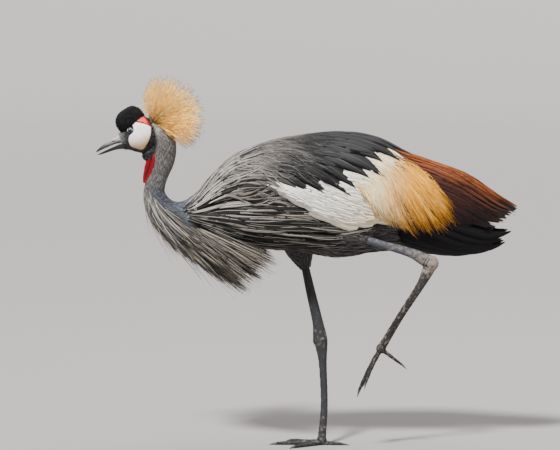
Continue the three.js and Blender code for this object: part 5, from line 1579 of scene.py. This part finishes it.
bpy.ops.object.select_all(action="DESELECT")
bpy.ops.mesh.primitive_uv_sphere_add(segments=72, ring_count=48, radius=1)
dome = bpy.context.object
dome.name = "cap_dome"
ball_x, ball_y, ball_z = rounded(points_of(dome), 0.92).T
ahead = 0.012 + 0.0285 * ball_x
up = 0.030 + 0.0245 * ball_z + 0.0035 * step(ball_z, 0.2, 0.9) * step(-ball_x, -0.3, 0.5)
low = up < cap_rim(ahead)
across = 0.0178 * ball_y * np.where(low, 0.9, 1)
up = np.where(low, cap_rim(ahead) - 0.002, up)
move_points(dome, in_head(ahead, across, up))
velvet = feather_finish("cap_velvet", barbs=4, slant=4, streak=(3, 1), contrast=0.3, rough=0.9,
                        sheen=0.05, gloss=0.2, relief=0.2)
tint(dome, BLACK_PLUSH)
dome.data.materials.append(down)
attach(dome, "root")


BLADE_STEPS = 4


def plant(pieces, keep, count, flow, stand, length, width, columns=3):
    """Blades rooted at random places on pieces: where keep allows, leaning the way of the flow."""
    faces = [np.empty((len(piece.data.polygons), 7)) for piece in pieces]
    for piece, face in zip(pieces, faces):
        for first, last, what in ((0, 3, "center"), (3, 6, "normal"), (6, 7, "area")):
            values = np.empty(len(face) * (last - first))
            piece.data.polygons.foreach_get(what, values)
            face[:, first:last] = values.reshape(len(face), -1)
    faces = np.concatenate(faces)
    chance = faces[:, 6] * keep(faces[:, :3], faces[:, 3:6])
    chosen = faces[rng.choice(len(faces), count, p=chance / chance.sum())]
    out = chosen[:, 3:6]
    spot = chosen[:, :3] + rng.uniform(-0.5, 0.5, (count, 3)) * np.sqrt(chosen[:, 6:])
    ahead = flow(spot, out) + rng.normal(0, 0.12, (count, 3))
    ahead = unit(ahead - out * (ahead * out).sum(-1, keepdims=True))
    t = np.linspace(0, 1, BLADE_STEPS)[None, :, None]
    reach = length * rng.uniform(0.8, 1.15, (count, 1))
    centre = ((spot - 0.0004 * out)[:, None] + (ahead * reach * (1 - stand))[:, None] * t
              + (out * reach * stand)[:, None] * (t - 0.35 * t * t))
    side = np.cross(ahead, out)[:, None] * np.ones((1, BLADE_STEPS, 1))
    up = np.cross(side, unit(np.gradient(centre, axis=1)))
    half = width / 2 * rng.uniform(0.8, 1.2, (count, 1)) * outline(POINTED, BLADE_STEPS)
    return blade_rings(centre, side, up, half, 0.3, 0.15 * width, columns), spot


def head_map(spot):
    """Where on the colour map a feather of the head is drawn."""
    return 0.5 + 8 * np.stack(head_terms(spot), -1)


rings, spot = plant([dome], lambda p, n: step(head_terms(p)[1], 0.014, 0.018), 5800,
                    lambda p, n: -0.8 * forward - 0.35 * upward, 0.66, 0.0039, 0.0012, columns=2)
coat("cap_plush", rings, np.tile(BLACK_PLUSH, (len(spot), BLADE_STEPS, 1)), head_map(spot), velvet,
     "black_plush", "cap")


# The small feathers of the head
# Short soft black feathers edge the bare patches and cover the chin and throat, and sparse grey
# bristles stand on the lores.
def inside(line):
    """A test for the places that lie within a patch's outline."""
    line = np.array(line, float) / 1000

    def test(point):
        ahead, up = head_terms(point)
        crossed = np.zeros(len(point), bool)
        for (a0, u0), (a1, u1) in zip(line, np.roll(line, -1, 0)):
            hit = ahead < (a1 - a0) * (up - u0) / (u1 - u0 + 1e-12) + a0
            crossed ^= ((u0 > up) != (u1 > up)) & hit
        return crossed
    return test


in_cheek, in_brow = inside(CHEEK), inside(BROW)


def down_the_throat(spot, out):
    """Backwards over the head, and down below it."""
    fall = step(-head_terms(spot)[0], -0.016, 0.010)[:, None]
    return (1 - fall) * (-forward - 0.3 * upward) + fall * np.array((0.25, 0, -1.0))


def feathered(point, out):
    """Where the head carries feathers: off the bare patches, the eyes, the bill and the cap."""
    ahead, up = head_terms(point)
    near_eye, _ = round_eye(point)
    reached = point + 0.0055 * unit(down_the_throat(point, out))
    bare = in_cheek(point) | in_brow(point) | in_cheek(reached) | in_brow(reached)
    free = ~bare & (near_eye > 1.5) & (up < cap_rim(ahead) + 0.004)
    return (free & (point[:, 2] > 0.548) & (point[:, 0] < -0.300)) * 1.0


def lores(point, out):
    """Where the bristles between the bill and the eye grow."""
    ahead, up = head_terms(point)
    return feathered(point, out) * (ahead > 0.016) * (up > -0.006)


def furry(point, out):
    """Everywhere else, and a few places of the lores."""
    return feathered(point, out) * (1 - 0.95 * (lores(point, out) > 0))


def uneven_hues(hues, low, high):
    """A colour for each blade, made lighter or darker by chance."""
    return hues[:, None] * rng.uniform(low, high, (len(hues), 1, 1)) * np.ones((1, BLADE_STEPS, 1))


rings, spot = plant([skin, face], furry, 3700, down_the_throat, 0.16, 0.0070, 0.0034)
coat("head_feathers", rings, uneven_hues(neck_marking(spot), 0.75, 1.25), head_map(spot),
     soft_feather, "grey_feather")
rings, spot = plant([face], lores, 1700, lambda p, n: -forward + 0.5 * upward, 0.25, 0.0028, 0.0006,
                    columns=2)
coat("lore_bristles", rings, uneven_hues(face_marking(spot), 0.6, 1.7), head_map(spot),
     soft_feather, "grey_feather")


# The crest
# A fan of stiff, straw-gold bristles springs from the back of the crown. Each is a flat quill
# twisted along its length, with a few loose barbs and a fine dark tip.
CREST_REACH = [
    # angle above straight back, and how far the crest reaches there
    (-34, 0.80), (-20, 0.90), (0, 0.96), (15, 1.03), (38, 1.02), (65, 0.95), (90, 0.82),
    (112, 0.46),
]
GOLDEN_TURN = 2.39996  # radians: spreads any number of quills evenly over the fan
crest_root = in_head(-0.026, 0, 0.013)


def bristles(count, length, half, steps, loose):
    """Twisted quills that fan out backwards and to both sides from the crest's root."""
    i = np.arange(count)
    out = np.sqrt((i + 0.5) / count)
    angle = 38 + 73 * out * np.cos(i * GOLDEN_TURN) + rng.normal(0, 1.5 + 4 * loose, count)
    lean = 58 * out * np.sin(i * GOLDEN_TURN) + rng.normal(0, 1.5 + 4 * loose, count)
    lean = np.radians(lean)
    reach = length * np.interp(angle, *zip(*CREST_REACH)) * rng.uniform(0.92, 1.04, count)
    rise = np.radians(angle)
    way = np.stack([np.cos(rise) * np.cos(lean), np.sin(lean), np.sin(rise) * np.cos(lean)], -1)
    start = crest_root + way * 0.004 + rng.normal(0, 0.0013, (count, 3))
    t = np.linspace(0, 1, steps)[None, :, None]
    wave = rng.normal(0, 0.010, (count, 1, 3)) * np.sin(np.pi * t)
    wave = wave + rng.normal(0, 0.0035, (count, 1, 3)) * np.sin(2.6 * np.pi * t)
    centre = start[:, None] + (way * reach[:, None])[:, None] * t + wave * (0.3 + loose) * t
    centre[..., 2] -= 0.006 * (np.cos(rise) ** 2)[:, None] * t[..., 0] ** 2
    ahead = unit(np.gradient(centre, axis=1))
    side = unit(np.cross(ahead, (0.3, 0.9, 0.2)))
    up = np.cross(side, ahead)
    twist = rng.uniform(0, 6, (count, 1)) + t[..., 0] * rng.uniform(7, 15, (count, 1))
    broad = side * np.cos(twist)[..., None] + up * np.sin(twist)[..., None]
    thin = np.cross(broad, ahead)
    half = half * (1 - 0.60 * t ** 3)
    ring = np.stack([centre + broad * half, centre + thin * half * 0.4,
                     centre - broad * half, centre - thin * half * 0.4], 2)
    return ring, out, angle


crest_hue, tree = new_finish("crest_straw")
fleck = maths(tree, "MULTIPLY_ADD", noise(tree, spot_on(tree), 260.0, 3.0), 1.6, 0.45)
dress(tree, {"Base Color": scaled(tree, tone_of(tree)[0], fleck), "Roughness": 0.45,
             "Sheen Weight": 0.3})

for name, count, length, half, steps, loose, replaced in (
        ("crest_quills", 560, 0.101, 0.00080, 14, 0.0, ("crest",)),
        ("crest_hairs", 700, 0.098, 0.00030, 10, 0.7, ())):
    rings, out, angle = bristles(count, length, half, steps, loose)
    t = np.linspace(0, 1, steps)[None, :]
    own = rng.uniform(0, 1, (count, 1))
    deep = blend(linear("744604"), linear("cf9424"), own)
    light = blend(linear("d08810"), linear("ffe68c"), step(own, 0.1, 0.6))
    light = blend(light, linear("ffcc50"), 0.5)
    # Painted shade: each bristle runs from a darker amber at its root to its own pale gold, standing
    # in for the shade in the crowded depth of the fan.
    hue = blend(deep, light, step(t, 0.0, 0.35))
    # Painted light: the bristles that point down and back are made up to 40% brighter, to lift the
    # shade they hang in.
    hue = hue * (1 + 0.4 * step(-angle, -34, -4))[:, None, None]
    hue = blend(hue, linear("0c0907"), 0.97 * step(t, 0.90 + 0.06 * (own - 0.5), 0.96))
    turn = np.radians(angle)
    place = 0.5 + 0.5 * np.stack([out * np.cos(turn), out * np.sin(turn)], -1)
    coat(name, rings, hue, place, crest_hue, "crest_bristle", *replaced)
